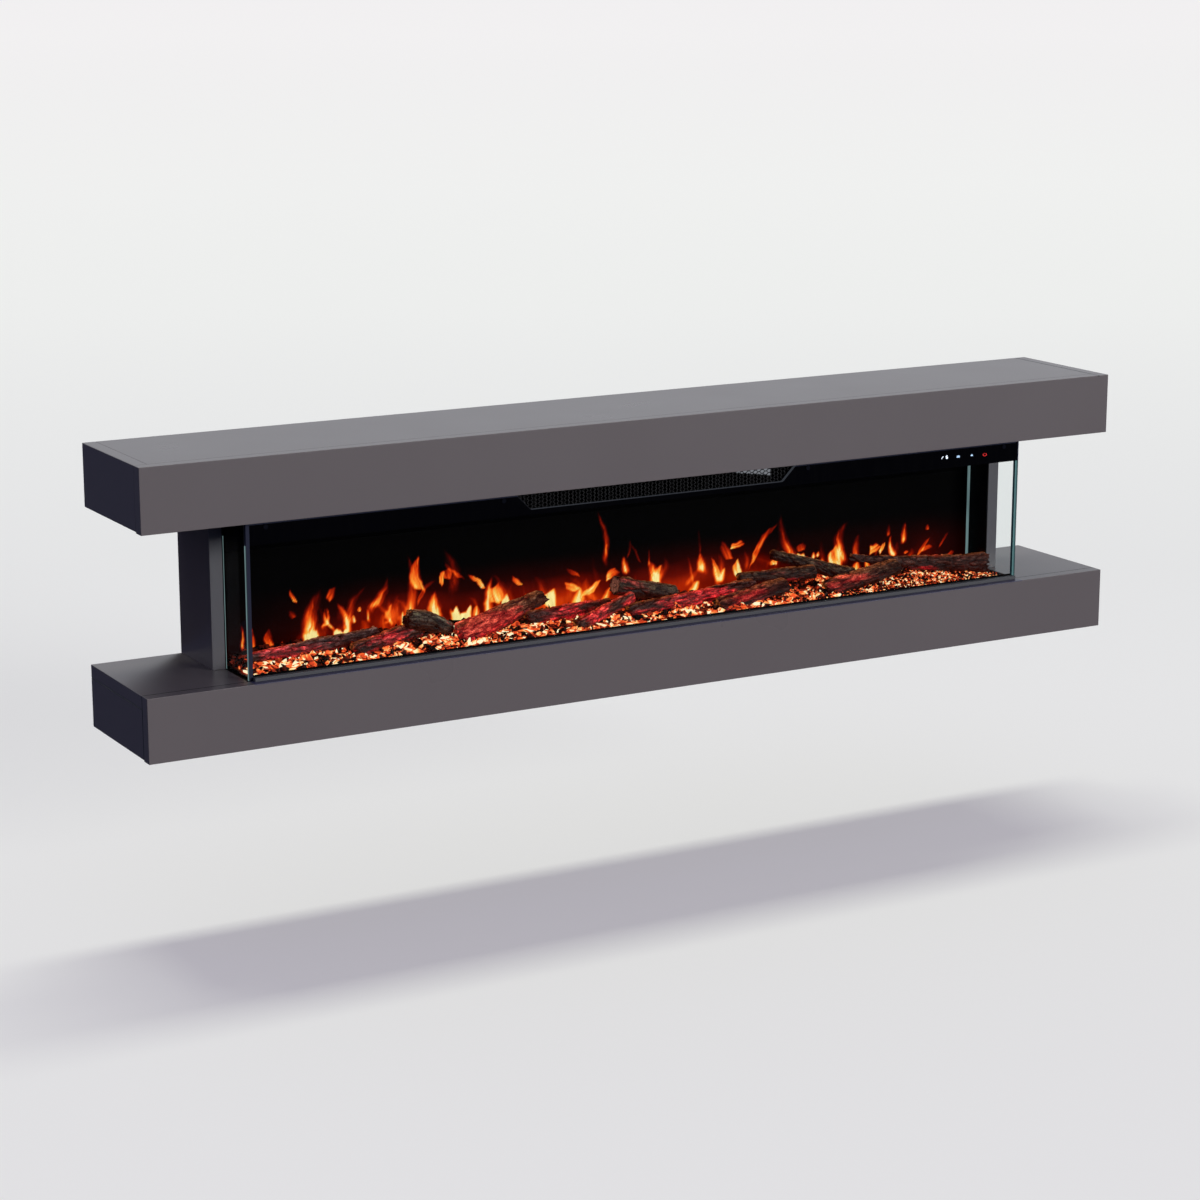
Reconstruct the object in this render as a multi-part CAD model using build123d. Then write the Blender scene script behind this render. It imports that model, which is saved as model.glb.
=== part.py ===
from build123d import *
import math
import os

# Wall-hung electric fireplace: a mantel beam and a plinth beam joined by two columns, with a
# three-sided glass fire between them. Millimetres. Origin on the wall plane, at the centre of the
# wall bracket's screws and at mid-height. +X is along the beams, +Y goes into the wall, +Z is up.

# Overall sizes
overall_width = 1860.0
overall_depth = 248.0
beam_height = 105.5
opening_height = 256.5

# Boards of the mantel, the plinth and the columns
board = 22.0
inner_board = 16.0
board_edge_radius = 0.8
fascia_drop = 2.0
column_inset = 155.0
column_depth = 134.5
rail_depth = 18.0

# Sheet-metal casing of the fire
sheet = 1.5
rear_gap = 0.5
case_rise = 45.0
ledge_width = 15.0
vent_length = 46.0
vent_width = 5.0
vent_pitch = 62.0
top_vent_count = 8
back_vent_count = 5
back_vent_drop = 24.0

# Glass
glass = 6.0
glass_behind_fascia = 1.0
glass_side_gap = 3.0
glass_joint = 0.3
glass_arris = 0.5
band_height = 39.5
outlet_half_width = 245.5
outlet_depth = 30.8
outlet_corner_radius = 7.5
base_rail_depth = 9.7
base_rail_height = 6.0
base_rail_clearance = 0.3
glass_screw_drop = 11.5
outer_screw_inset = 34.0
inner_screw_offset = 19.7
glass_screw_radius = 2.5
glass_screw_head_radius = 4.0
glass_screw_head = 1.4
glass_tab_width = 22.0

# Honeycomb outlet grille
grille_margin = 5.0
hex_pitch = 10.0
hex_wall = 1.8
hex_rows = 3

# Fan heater in the header
header_setback = 2.0
header_end_gap = 2.0
heater_gap = 10.0
heater_depth = 18.0
heater_height = 46.0
heater_half_length = 232.0
heater_rim = 4.0
heater_fin_pitch = 10.0
heater_fin = 2.0
fan_radius = 24.0
fan_half_length = 212.0
fan_blades = 16
fan_blade = 1.2
fan_blade_depth = 7.0
fan_blade_inset = 1.0
fan_blade_tilt = 35.0
fan_disc = 2.0
fan_disc_count = 5
fan_lift = 41.0
cowl_gap = 8.0
cowl_wall = 2.0
fan_heater_gap = 14.0
shaft_radius = 3.0
shaft_clearance = 0.05
bearing_width = 8.0
bearing_depth = 20.0
bearing_crown = 9.0
fan_motor_radius = 19.0
fan_motor_length = 40.0
motor_end_gap = 4.0
motor_foot_depth = 26.0

# Flame screen and flame engine
screen_from_wall = 82.0
screen = 3.0
screen_fit = 0.5
spindle_from_back = 30.0
spindle_drop = 20.0
blade_pitch = 30.0
blade_length = 22.0
blade_span = 38.0
blade_sheet = 1.0
blade_turn = 37.0
flame_motor_radius = 18.0
flame_motor_length = 36.0
flame_motor_wall_gap = 6.0
flame_bearing_inset = 50.0
led_bar_width = 14.0
led_bar_height = 9.0
led_bar_end_gap = 16.0
led_size = 4.0
led_pitch = 45.0

# Ember bed, loose chips and logs
ember_gap = 0.6
bed_front_height = 4.0
bed_knee_height = 12.0
bed_rear_height = 14.0
bed_knee_from_front = 58.0
chip_pitch_along = 27.0
chip_pitch_across = 22.0
chip_length = 15.0
chip_width = 10.0
chip_height = 4.5
chip_seat = 0.05
log_sides = 9
log_lumps = 0.10
split_flat = 0.45

# Electronics
touch_board_left = 183.0
touch_board_right = 60.0
touch_board_height = 26.0
touch_board_drop = 9.0
touch_board = 3.0
control_board_length = 190.0
control_board_depth = 80.0
control_board_offset = 70.0
circuit_board = 1.6
standoff = 8.0
standoff_radius = 3.0
standoff_inset = 7.0
relay = 16.0
relay_pitch = 22.4
relay_count = 3
choke = 28.0
choke_height = 22.0
capacitor_radius = 6.0
capacitor_height = 18.0
capacitor_pitch = 18.0

# Power switch and cord gland in the plinth's underside
switch_from_wall = 60.0
switch_from_column = 25.0
gland_from_switch = 58.0
flange = 1.5
flange_lip = 2.6
cutout_clearance = 0.3
rocker_half_length = 12.0
rocker_half_width = 8.0
rocker_face = 2.0
rocker_dish = 1.2
rocker_back = 4.0
rocker_draft = 1.0
rocker_tilt = 10.0
rocker_pin_radius = 1.5
rocker_pin_reach = 2.2
rocker_side_gap = 0.5
rocker_end_gap = 1.2
switch_wall = 2.6
switch_roof_gap = 3.0
switch_roof = 2.0
terminal = 1.0
terminal_width = 5.0
terminal_length = 9.0
gland_bore = 4.2
gland_radius = 8.0
gland_nut_radius = 12.0
gland_nut = 5.0

# Wall bracket and hanging channel
bracket_half_length = 350.0
bracket_sheet = 2.5
bracket_half_height = 24.0
bracket_step = 5.0
bracket_lip = 20.0
bracket_hole_radius = 4.0
bracket_hole_spacing_x = 600.0
bracket_hole_spacing_z = 24.0
channel_half_length = 340.0
channel_clearance = 1.25
channel_lip = 17.0
channel_flange = 30.0

# Fasteners
screw_radius = 3.2
screw_hole_clearance = 0.1
screw_head_radius = 5.0
screw_head = 3.0
screw_bite = 36.0
screw_tip_gap = 1.0
column_screw_from_wall = (30.0, 105.0)
case_screw_radius = 2.0
case_screw_head_radius = 4.0
case_screw_head = 2.4
case_screw_bite = 14.0
case_screw_levels = (-70.0, 0.0, 70.0)
case_screw_from_back = 24.0

# Planes worked out from the sizes above
half_width = overall_width / 2
plinth_top = -opening_height / 2
mantel_low = opening_height / 2
plinth_low = plinth_top - beam_height
mantel_top = mantel_low + beam_height
fascia_front = -overall_depth
fascia_back = fascia_front + board
end_inner = half_width - board
column_outer = half_width - column_inset
fire_half = column_outer - board
plinth_floor = plinth_low + fascia_drop + inner_board
mantel_floor = mantel_low + fascia_drop + inner_board

case_half = fire_half - sheet
case_back = -rail_depth - rear_gap
back_inner = case_back - sheet
case_top = mantel_low + case_rise
cover_low = case_top - sheet
floor_top = plinth_floor + sheet
ledge_front = fascia_back + rear_gap
ledge_top = plinth_top
ledge_low = ledge_top - sheet

glass_front_face = fascia_back + glass_behind_fascia
glass_inner = glass_front_face + glass
glass_half = fire_half - glass_side_gap
pane_inner = glass_half - glass
screen_front = -screen_from_wall
screen_back = screen_front + screen
pane_rear = screen_front - screen_fit
header_low = mantel_low - band_height
header_top = header_low + sheet
header_front = glass_inner + header_setback
header_half = pane_inner - header_end_gap

outlet_sill = mantel_low - outlet_depth
outlet_top_half = outlet_half_width + outlet_depth
inner_screw_x = outlet_top_half + inner_screw_offset
outer_screw_x = glass_half - outer_screw_inset
glass_screw_z = mantel_low - glass_screw_drop
glass_screw_places = (-outer_screw_x, -inner_screw_x, inner_screw_x, outer_screw_x)

heater_front = header_front + sheet + heater_gap
heater_back = heater_front + heater_depth
fan_y = heater_back + fan_heater_gap + fan_radius + cowl_gap
fan_z = header_top + fan_lift
spindle_y = back_inner - spindle_from_back
spindle_z = plinth_top - spindle_drop

bed_front = glass_inner + ember_gap
bed_rear = screen_front - ember_gap
bed_half = pane_inner - ember_gap

switch_x = column_outer + switch_from_column
gland_x = switch_x + gland_from_switch
underside = plinth_low + fascia_drop

nodes = {}


def block(x, y, z):
    """Box between two planes on each axis, each given as a (low, high) pair."""
    middle = Pos((x[0] + x[1]) / 2, (y[0] + y[1]) / 2, (z[0] + z[1]) / 2)
    return middle * Box(abs(x[1] - x[0]), abs(y[1] - y[0]), abs(z[1] - z[0]))


def plank(x, y, z):
    """Board with every edge eased by the board edge radius."""
    return fillet(block(x, y, z).edges(), board_edge_radius)


def on_side(side, near, far):
    """Pair of X planes on the right (side = 1) or the left (side = -1)."""
    return (near, far) if side > 0 else (-far, -near)


def bar_along_x(profile, x_low, x_high):
    """Bar whose section is a list of (y, z) corners."""
    section = Plane.YZ * make_face(Polyline(*profile, close=True))
    return Pos(x_low, 0, 0) * extrude(section, x_high - x_low)


def plate_along_y(outline, y_low, y_high):
    """Plate whose front outline is a list of (x, z) corners."""
    face = Plane.XZ * make_face(Polyline(*outline, close=True))
    return Pos(0, y_high, 0) * extrude(face, y_high - y_low)


def rod_x(radius, x_low, x_high, y, z):
    """Round rod along X."""
    return Pos((x_low + x_high) / 2, y, z) * Rot(0, 90, 0) * Cylinder(radius, x_high - x_low)


def rod_y(radius, y_low, y_high, x, z):
    """Round rod along Y."""
    return Pos(x, (y_low + y_high) / 2, z) * Rot(90, 0, 0) * Cylinder(radius, y_high - y_low)


def rod_z(radius, z_low, z_high, x, y):
    """Round rod along Z."""
    return Pos(x, y, (z_low + z_high) / 2) * Cylinder(radius, z_high - z_low)


def even_places(count, pitch):
    """Places of a centred row."""
    return [(index - (count - 1) / 2) * pitch for index in range(count)]


def scatter(seed):
    """Repeatable scatter from 0 to 1 for a whole-number seed."""
    return math.sin(seed * 12.9898 + 4.1414) * 43758.5453 % 1.0


def column_screw_spots():
    """X, Y and side of the screws that hold the columns."""
    spots = []
    for side in (-1, 1):
        for from_wall in column_screw_from_wall:
            spots.append((side * (fire_half + board / 2), -from_wall, side))
    return spots


def build_mantel():
    """Mantel beam: fascia, ends, top between the ends, underside boards beside the fire."""
    nodes["mantel_fascia"] = plank(
        (-half_width, half_width), (fascia_front, fascia_back), (mantel_low, mantel_top)
    )
    nodes["mantel_top_board"] = plank(
        (-end_inner, end_inner), (fascia_back, 0), (mantel_top - board, mantel_top)
    )
    undersides = []
    for side, name in ((-1, "left"), (1, "right")):
        nodes["mantel_end_" + name] = plank(
            on_side(side, end_inner, half_width), (fascia_back, 0),
            (mantel_low + fascia_drop, mantel_top),
        )
        lower = plank(
            on_side(side, fire_half, end_inner), (fascia_back, 0),
            (mantel_low + fascia_drop, mantel_floor),
        )
        for x, y, screw_side in column_screw_spots():
            if screw_side == side:
                hole_radius = screw_radius + screw_hole_clearance
                lower -= rod_z(hole_radius, mantel_low, mantel_floor, x, y)
        undersides.append(lower)
    nodes["mantel_underside_boards"] = Compound(children=undersides)


def build_plinth():
    """Plinth beam: fascia, ends under the top boards, bottom board with its two cut-outs."""
    nodes["plinth_fascia"] = plank(
        (-half_width, half_width), (fascia_front, fascia_back), (plinth_low, plinth_top)
    )
    for side, name in ((-1, "left"), (1, "right")):
        top = plank(
            on_side(side, fire_half, half_width), (fascia_back, 0), (plinth_top - board, plinth_top)
        )
        for x, y, screw_side in column_screw_spots():
            if screw_side == side:
                hole_radius = screw_radius + screw_hole_clearance
                top -= rod_z(hole_radius, plinth_top - board, plinth_top, x, y)
        nodes["plinth_top_" + name] = top
        nodes["plinth_end_" + name] = plank(
            on_side(side, end_inner, half_width), (fascia_back, 0),
            (underside, plinth_top - board),
        )
    bottom = plank((-end_inner, end_inner), (fascia_back, 0), (underside, plinth_floor))
    half_x, half_y = switch_body_half()
    bottom -= block(
        (switch_x - half_x - cutout_clearance, switch_x + half_x + cutout_clearance),
        (-switch_from_wall - half_y - cutout_clearance, -switch_from_wall + half_y + cutout_clearance),
        (underside, plinth_floor),
    )
    bottom -= rod_z(
        gland_radius + cutout_clearance, underside, plinth_floor, gland_x, -switch_from_wall
    )
    nodes["plinth_bottom_board"] = bottom


def build_columns_and_rails():
    """Column side boards, back rails in both beams, and the screws that hold the columns."""
    column_top = mantel_low + fascia_drop
    hole_radius = screw_radius + screw_hole_clearance
    pilot_radius = case_screw_radius + screw_hole_clearance
    for side, name in ((-1, "left"), (1, "right")):
        column = plank(on_side(side, fire_half, column_outer), (-column_depth, 0), (plinth_top, column_top))
        for x, y, screw_side in column_screw_spots():
            if screw_side == side:
                column -= rod_z(hole_radius, plinth_top, plinth_top + screw_bite, x, y)
                column -= rod_z(hole_radius, column_top - screw_bite, column_top, x, y)
        for level in case_screw_levels:
            column -= rod_x(
                pilot_radius, *on_side(side, fire_half, fire_half + case_screw_bite),
                back_inner - case_screw_from_back, level,
            )
        nodes["column_side_" + name] = column

    rails = []
    for low, high in ((plinth_floor, plinth_top - board), (mantel_floor, mantel_top - board)):
        rails.append(plank((-end_inner, end_inner), (-rail_depth, 0), (low, high)))
    nodes["back_rails"] = Compound(children=rails)

    screws = []
    for x, y, side in column_screw_spots():
        head_low = plinth_top - board
        screws.append(
            rod_z(screw_head_radius, head_low - screw_head, head_low, x, y)
            + rod_z(screw_radius, head_low, plinth_top + screw_bite - screw_tip_gap, x, y)
        )
        screws.append(
            rod_z(screw_head_radius, mantel_floor, mantel_floor + screw_head, x, y)
            + rod_z(screw_radius, column_top - screw_bite + screw_tip_gap, mantel_floor, x, y)
        )
    nodes["column_screws"] = Compound(children=screws)


def build_casing():
    """Sheet-metal casing: floor, back, sides, top cover, header floor and glass ledges."""
    nodes["case_floor"] = block(
        (-case_half, case_half), (ledge_front + sheet, back_inner), (plinth_floor, floor_top)
    )

    back = block((-case_half, case_half), (back_inner, case_back), (plinth_floor, cover_low))
    for side in (-1, 1):
        for index in range(back_vent_count):
            x = side * (channel_half_length + (index + 1) * vent_pitch)
            back -= block(
                (x - vent_length / 2, x + vent_length / 2), (back_inner, case_back),
                (header_low - back_vent_drop - vent_width, header_low - back_vent_drop),
            )
    nodes["case_back"] = back

    outline = [
        (ledge_front, plinth_floor), (case_back, plinth_floor), (case_back, cover_low),
        (-column_depth, cover_low), (-column_depth, plinth_top), (ledge_front, plinth_top),
    ]
    side_plates = []
    for side in (-1, 1):
        plate = bar_along_x(outline, *on_side(side, case_half, fire_half))
        for level in case_screw_levels:
            plate -= rod_x(
                case_screw_radius + screw_hole_clearance, *on_side(side, case_half, fire_half),
                back_inner - case_screw_from_back, level,
            )
        side_plates.append(plate)
    nodes["case_sides"] = Compound(children=side_plates)

    cover = block((-fire_half, fire_half), (header_front, case_back), (cover_low, case_top))
    for x in even_places(top_vent_count, vent_pitch):
        for y in (fan_y - fan_radius / 2, fan_y + fan_radius / 2):
            cover -= block(
                (x - vent_length / 2, x + vent_length / 2), (y - vent_width / 2, y + vent_width / 2),
                (cover_low, case_top),
            )
    nodes["case_top_cover"] = cover

    header = block((-header_half, header_half), (header_front, back_inner), (header_low, header_top))
    for side in (-1, 1):
        header += block(
            on_side(side, header_half - sheet, header_half), (header_front, back_inner),
            (header_low, cover_low),
        )
    tab_top = glass_screw_z + glass_tab_width / 2
    for x in glass_screw_places:
        header += block(
            (x - glass_tab_width / 2, x + glass_tab_width / 2),
            (header_front, header_front + sheet), (header_low, tab_top),
        )
    for x in glass_screw_places:
        header -= rod_y(
            glass_screw_radius + screw_hole_clearance, header_front, header_front + sheet,
            x, glass_screw_z,
        )
    nodes["header_floor"] = header

    ledge = [
        (ledge_front, plinth_floor), (ledge_front + sheet, plinth_floor),
        (ledge_front + sheet, ledge_low), (ledge_front + ledge_width, ledge_low),
        (ledge_front + ledge_width, ledge_top), (ledge_front, ledge_top),
    ]
    nodes["front_ledge"] = bar_along_x(ledge, -case_half, case_half)

    side_ledges = []
    for side in (-1, 1):
        upright = block(
            on_side(side, case_half - sheet, case_half),
            (ledge_front + ledge_width, pane_rear), (floor_top, ledge_top),
        )
        shelf = block(
            on_side(side, case_half - ledge_width, case_half),
            (ledge_front + ledge_width, pane_rear), (ledge_low, ledge_top),
        )
        side_ledges.append(upright + shelf)
    nodes["side_ledges"] = Compound(children=side_ledges)

    screws = []
    for side in (-1, 1):
        for level in case_screw_levels:
            y = back_inner - case_screw_from_back
            head = rod_x(
                case_screw_head_radius, *on_side(side, case_half - case_screw_head, case_half), y, level
            )
            tip = fire_half + case_screw_bite - screw_tip_gap
            shank = rod_x(case_screw_radius, *on_side(side, case_half, tip), y, level)
            screws.append(head + shank)
    nodes["case_screws"] = Compound(children=screws)


def build_glass():
    """Three panes, the notch for warm air, the front screws and the base rail."""
    outline = [
        (-glass_half, plinth_top), (glass_half, plinth_top), (glass_half, mantel_low),
        (outlet_top_half, mantel_low), (outlet_half_width, outlet_sill),
        (-outlet_half_width, outlet_sill), (-outlet_top_half, mantel_low), (-glass_half, mantel_low),
    ]
    front = plate_along_y(outline, glass_front_face, glass_inner)
    sill_edges = [
        edge for edge in front.edges().filter_by(Axis.Y)
        if abs(edge.center().Z - outlet_sill) < 1
    ]
    front = fillet(sill_edges, outlet_corner_radius)
    front = chamfer(front.faces().sort_by(Axis.Y)[0].edges(), glass_arris)
    for x in glass_screw_places:
        front -= rod_y(
            glass_screw_radius + screw_hole_clearance, glass_front_face, glass_inner, x, glass_screw_z
        )
    nodes["glass_front"] = front

    for side, name in ((-1, "left"), (1, "right")):
        nodes["glass_" + name] = block(
            on_side(side, pane_inner, glass_half), (glass_inner + glass_joint, pane_rear),
            (plinth_top, mantel_low),
        )

    screws = []
    for x in glass_screw_places:
        head = rod_y(
            glass_screw_head_radius, glass_front_face - glass_screw_head, glass_front_face,
            x, glass_screw_z,
        )
        shank = rod_y(
            glass_screw_radius, glass_front_face, header_front + sheet + glass, x, glass_screw_z
        )
        screws.append(head + shank)
    nodes["glass_screws"] = Compound(children=screws)

    rail_back = glass_front_face - base_rail_clearance
    rail = block(
        (-pane_inner, pane_inner), (rail_back - base_rail_depth, rail_back),
        (plinth_top, plinth_top + base_rail_height),
    )
    nodes["glass_base_rail"] = fillet(rail.edges().filter_by(Axis.X), board_edge_radius)


def build_outlet_grille():
    """Honeycomb plate behind the notch: one face with hexagonal holes, given a thickness."""
    half_length = outlet_top_half + grille_margin
    height = mantel_low - header_top
    row_pitch = hex_pitch * math.sqrt(3) / 2
    hole_radius = (hex_pitch - hex_wall) / math.sqrt(3)
    columns = int(2 * (half_length - grille_margin) // hex_pitch) - 1
    face = Rectangle(2 * half_length, height)
    holes = []
    for row, up in enumerate(even_places(hex_rows, row_pitch)):
        for along in even_places(columns - row % 2, hex_pitch):
            holes.append(Pos(along, up) * RegularPolygon(hole_radius, 6, rotation=30))
    face -= holes
    grille = extrude(Plane.XZ * face, sheet)
    nodes["outlet_grille"] = Pos(0, header_front + sheet, header_top + height / 2) * grille


def bearing(x_low, x_high, y, z, foot):
    """Bearing block that stands on its foot level, bored for the shaft."""
    post = block((x_low, x_high), (y - bearing_depth / 2, y + bearing_depth / 2), (foot, z + bearing_crown))
    return post - rod_x(shaft_radius + shaft_clearance, x_low, x_high, y, z)


def motor(radius, x_low, x_high, y, z, foot):
    """Round motor on a foot, bored on its left face for the shaft end."""
    can = rod_x(radius, x_low, x_high, y, z)
    leg = block((x_low, x_high), (y - motor_foot_depth / 2, y + motor_foot_depth / 2), (foot, z))
    return can + leg - rod_x(shaft_radius + shaft_clearance, x_low, (x_low + x_high) / 2, y, z)


def build_fan_heater():
    """Finned element, cross-flow rotor, cowl and motor on the header floor; returns the bearing."""
    element = block(
        (-heater_half_length, heater_half_length), (heater_front, heater_back),
        (header_top, header_top + heater_height),
    )
    slots = int(2 * (heater_half_length - heater_rim) // heater_fin_pitch)
    gap = heater_fin_pitch - heater_fin
    for x in even_places(slots, heater_fin_pitch):
        element -= block(
            (x - gap / 2, x + gap / 2), (heater_front, heater_back),
            (header_top + heater_rim, header_top + heater_height - heater_rim),
        )
    nodes["heater_element"] = element

    bearing_high = -fan_half_length - motor_end_gap
    bearing_low = bearing_high - bearing_width
    motor_low = fan_half_length + motor_end_gap
    rotor = rod_x(shaft_radius, bearing_low, motor_low + fan_motor_length / 3, fan_y, fan_z)
    disc_pitch = (2 * fan_half_length - fan_disc) / (fan_disc_count - 1)
    for x in even_places(fan_disc_count, disc_pitch):
        rotor += rod_x(fan_radius, x - fan_disc / 2, x + fan_disc / 2, fan_y, fan_z)
    blade_ring = fan_radius - fan_blade_depth / 2 - fan_blade_inset
    for index in range(fan_blades):
        turn = index * 360 / fan_blades
        blade = Pos(0, 0, blade_ring) * Rot(fan_blade_tilt, 0, 0) * Box(
            2 * fan_half_length, fan_blade, fan_blade_depth
        )
        rotor += Pos(0, fan_y, fan_z) * Rot(turn, 0, 0) * blade
    nodes["fan_rotor"] = rotor

    inner = fan_radius + cowl_gap
    outer = inner + cowl_wall
    cowl = rod_x(outer, -fan_half_length, fan_half_length, fan_y, fan_z)
    cowl -= rod_x(inner, -fan_half_length, fan_half_length, fan_y, fan_z)
    cowl -= block((-fan_half_length, fan_half_length), (fan_y - outer, fan_y), (fan_z - outer, fan_z + outer))
    foot_low = header_top
    cowl += block(
        (-fan_half_length, fan_half_length), (fan_y, fan_y + cowl_wall),
        (foot_low, fan_z - inner - cowl_wall / 2),
    )
    cowl += block(
        (-fan_half_length, fan_half_length), (fan_y, fan_y + inner), (foot_low, foot_low + cowl_wall)
    )
    nodes["fan_cowl"] = cowl

    nodes["fan_motor"] = motor(
        fan_motor_radius, motor_low, motor_low + fan_motor_length, fan_y, fan_z, header_top
    )
    return bearing(bearing_low, bearing_high, fan_y, fan_z, header_top)


def build_flame_engine(fan_bearing):
    """Flame screen, reflector spindle, its motor and bearings, and the two light bars."""
    nodes["flame_screen"] = block(
        (-case_half + screen_fit, case_half - screen_fit), (screen_front, screen_back),
        (floor_top, header_low),
    )

    motor_high = case_half - flame_motor_wall_gap
    motor_low = motor_high - flame_motor_length
    right_high = motor_low - motor_end_gap
    left_low = -case_half + flame_bearing_inset
    spindle = rod_x(shaft_radius, left_low, motor_low + flame_motor_length / 3, spindle_y, spindle_z)
    clear_half = right_high - bearing_width - motor_end_gap - blade_length
    blade_count = int(2 * clear_half // blade_pitch)
    for index, x in enumerate(even_places(blade_count, blade_pitch)):
        blade = Box(blade_length, blade_span, blade_sheet)
        spindle += Pos(x, spindle_y, spindle_z) * Rot(index * blade_turn, 0, 0) * blade
    nodes["flame_spindle"] = spindle

    nodes["flame_motor"] = motor(
        flame_motor_radius, motor_low, motor_high, spindle_y, spindle_z, floor_top
    )
    posts = [fan_bearing]
    for low in (left_low, right_high - bearing_width):
        posts.append(bearing(low, low + bearing_width, spindle_y, spindle_z, floor_top))
    nodes["shaft_bearings"] = Compound(children=posts)

    bar_half = right_high - bearing_width - led_bar_end_gap
    bed_middle = (bed_front + bed_rear) / 2
    bars = []
    for y in (spindle_y, bed_middle):
        bar = block(
            (-bar_half, bar_half), (y - led_bar_width / 2, y + led_bar_width / 2),
            (floor_top, floor_top + led_bar_height),
        )
        lamp_low = floor_top + led_bar_height
        for x in even_places(int(2 * bar_half // led_pitch), led_pitch):
            bar += block(
                (x - led_size / 2, x + led_size / 2), (y - led_size / 2, y + led_size / 2),
                (lamp_low, lamp_low + led_size / 2),
            )
        bars.append(bar)
    nodes["light_bars"] = Compound(children=bars)


def bed_profile():
    """Corners of the ember bed's upper side, as (y, height above the plinth top)."""
    return [
        (bed_front, bed_front_height), (bed_front + bed_knee_from_front, bed_knee_height),
        (bed_rear, bed_rear_height),
    ]


def bed_height(y):
    """Height of the ember bed's upper side above the plinth top at one place across it."""
    front, knee, rear = bed_profile()
    low, high = (front, knee) if y < knee[0] else (knee, rear)
    return low[1] + (high[1] - low[1]) * (y - low[0]) / (high[0] - low[0])


def log_point(along, across, rise, radius):
    """Middle of a log at one of its stations."""
    reach = radius * (1 + log_lumps)
    y = bed_front + reach + across * (bed_rear - bed_front - 2 * reach)
    return Vector(along * bed_half, y, plinth_top + bed_height(y) + rise)


# Each log: node name, whether it is split, and its stations as (along, across, rise, radius).
# Along runs from -1 to 1 over the bed. Across is 0 with the log's skin at the bed's front edge and
# 1 with its skin at the rear edge. Rise is of the log's middle above the bed below it.
logs = (
    ("log_far_left", False,
     ((-0.971, 0.369, 10.8, 8.0), (-0.81, 0.463, 11.3, 12.0), (-0.659, 0.615, 13.4, 12.5))),
    ("log_left_front", False, ((-0.740, 0.120, 11.4, 12.0), (-0.562, 0.544, 14.6, 15.0))),
    ("log_left_stub", False, ((-0.593, 0.404, 42.0, 16.5), (-0.474, 0.169, 11.5, 13.0))),
    ("log_split_red", True, ((-0.474, 0.171, 8.7, 21.0), (-0.231, 0.740, 35.2, 19.0))),
    ("log_middle_left", False, ((-0.291, 0.450, 11.8, 12.0), (-0.078, 0.505, 13.7, 14.0))),
    ("log_upright_billet", False, ((-0.196, 0.029, 6.9, 11.0), (-0.040, 0.232, 34.9, 10.0))),
    ("log_long_red", False, ((-0.043, 0.231, 10.7, 12.0), (0.312, 0.523, 13.7, 14.5))),
    ("log_cut_end", False, ((-0.065, 0.427, 50.9, 15.5), (0.097, 0.505, 22.7, 13.5))),
    ("log_split_dark", True, ((0.188, 0.007, 6.5, 16.0), (0.379, 0.232, 20.4, 15.0))),
    ("log_cross_lower", False, ((0.299, 0.729, 24.1, 11.0), (0.487, 0.505, 27.7, 12.0))),
    ("log_cross_upper", False, ((0.401, 0.809, 57.8, 8.0), (0.592, 0.449, 12.9, 13.5))),
    ("log_right_split", True, ((0.495, 0.127, 7.8, 16.0), (0.710, 0.330, 24.0, 15.0))),
    ("log_far_right", False,
     ((0.601, 0.537, 43.6, 6.0), (0.807, 0.486, 17.8, 13.5), (0.955, 0.180, 16.0, 17.0))),
)


def log_solid(stations, split, seed):
    """Log as a ruled loft through like-sided sections that all face along the log."""
    points = [log_point(*station) for station in stations]
    heading = points[-1] - points[0]
    corners = []
    for side in range(log_sides):
        turn = 2 * math.pi * side / log_sides
        reach = 1 + log_lumps * (2 * scatter(seed * log_sides + side) - 1)
        up = math.sin(turn) * reach
        if split:
            up = min(up, split_flat)
        corners.append((math.cos(turn) * reach, up))
    level = heading.cross(Vector(0, 0, 1)).normalized()
    sections = []
    for point, station in zip(points, stations):
        radius = station[3]
        plane = Plane(origin=point, x_dir=level, z_dir=heading.normalized())
        outline = [(across * radius, -up * radius) for across, up in corners]
        if plane.y_dir.Z > 0:
            outline = [(across, -up) for across, up in outline]
        sections.append(plane * make_face(Polyline(*outline, close=True)))
    return loft(sections, ruled=True)


def largest(shape):
    """The largest solid of a shape that a cut may have divided."""
    return max(shape.solids(), key=lambda solid: solid.volume)


def boxes_meet(first, second):
    """Whether two shapes' boxes overlap."""
    a = first.bounding_box()
    b = second.bounding_box()
    return all(
        low_a < high_b and low_b < high_a
        for low_a, high_a, low_b, high_b in zip(a.min, a.max, b.min, b.max)
    )


def near_a_log(spot, margin):
    """Whether a spot of the bed, seen from above, is under or beside a log."""
    for name, split, stations in logs:
        points = [log_point(*station) for station in stations]
        for first, last, station in zip(points, points[1:], stations):
            run = Vector(last.X - first.X, last.Y - first.Y, 0)
            reach = Vector(spot.X - first.X, spot.Y - first.Y, 0)
            share = min(1.0, max(0.0, reach.dot(run) / run.dot(run)))
            if (reach - run * share).length < margin + max(station[3] for station in stations):
                return True
    return False


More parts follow.
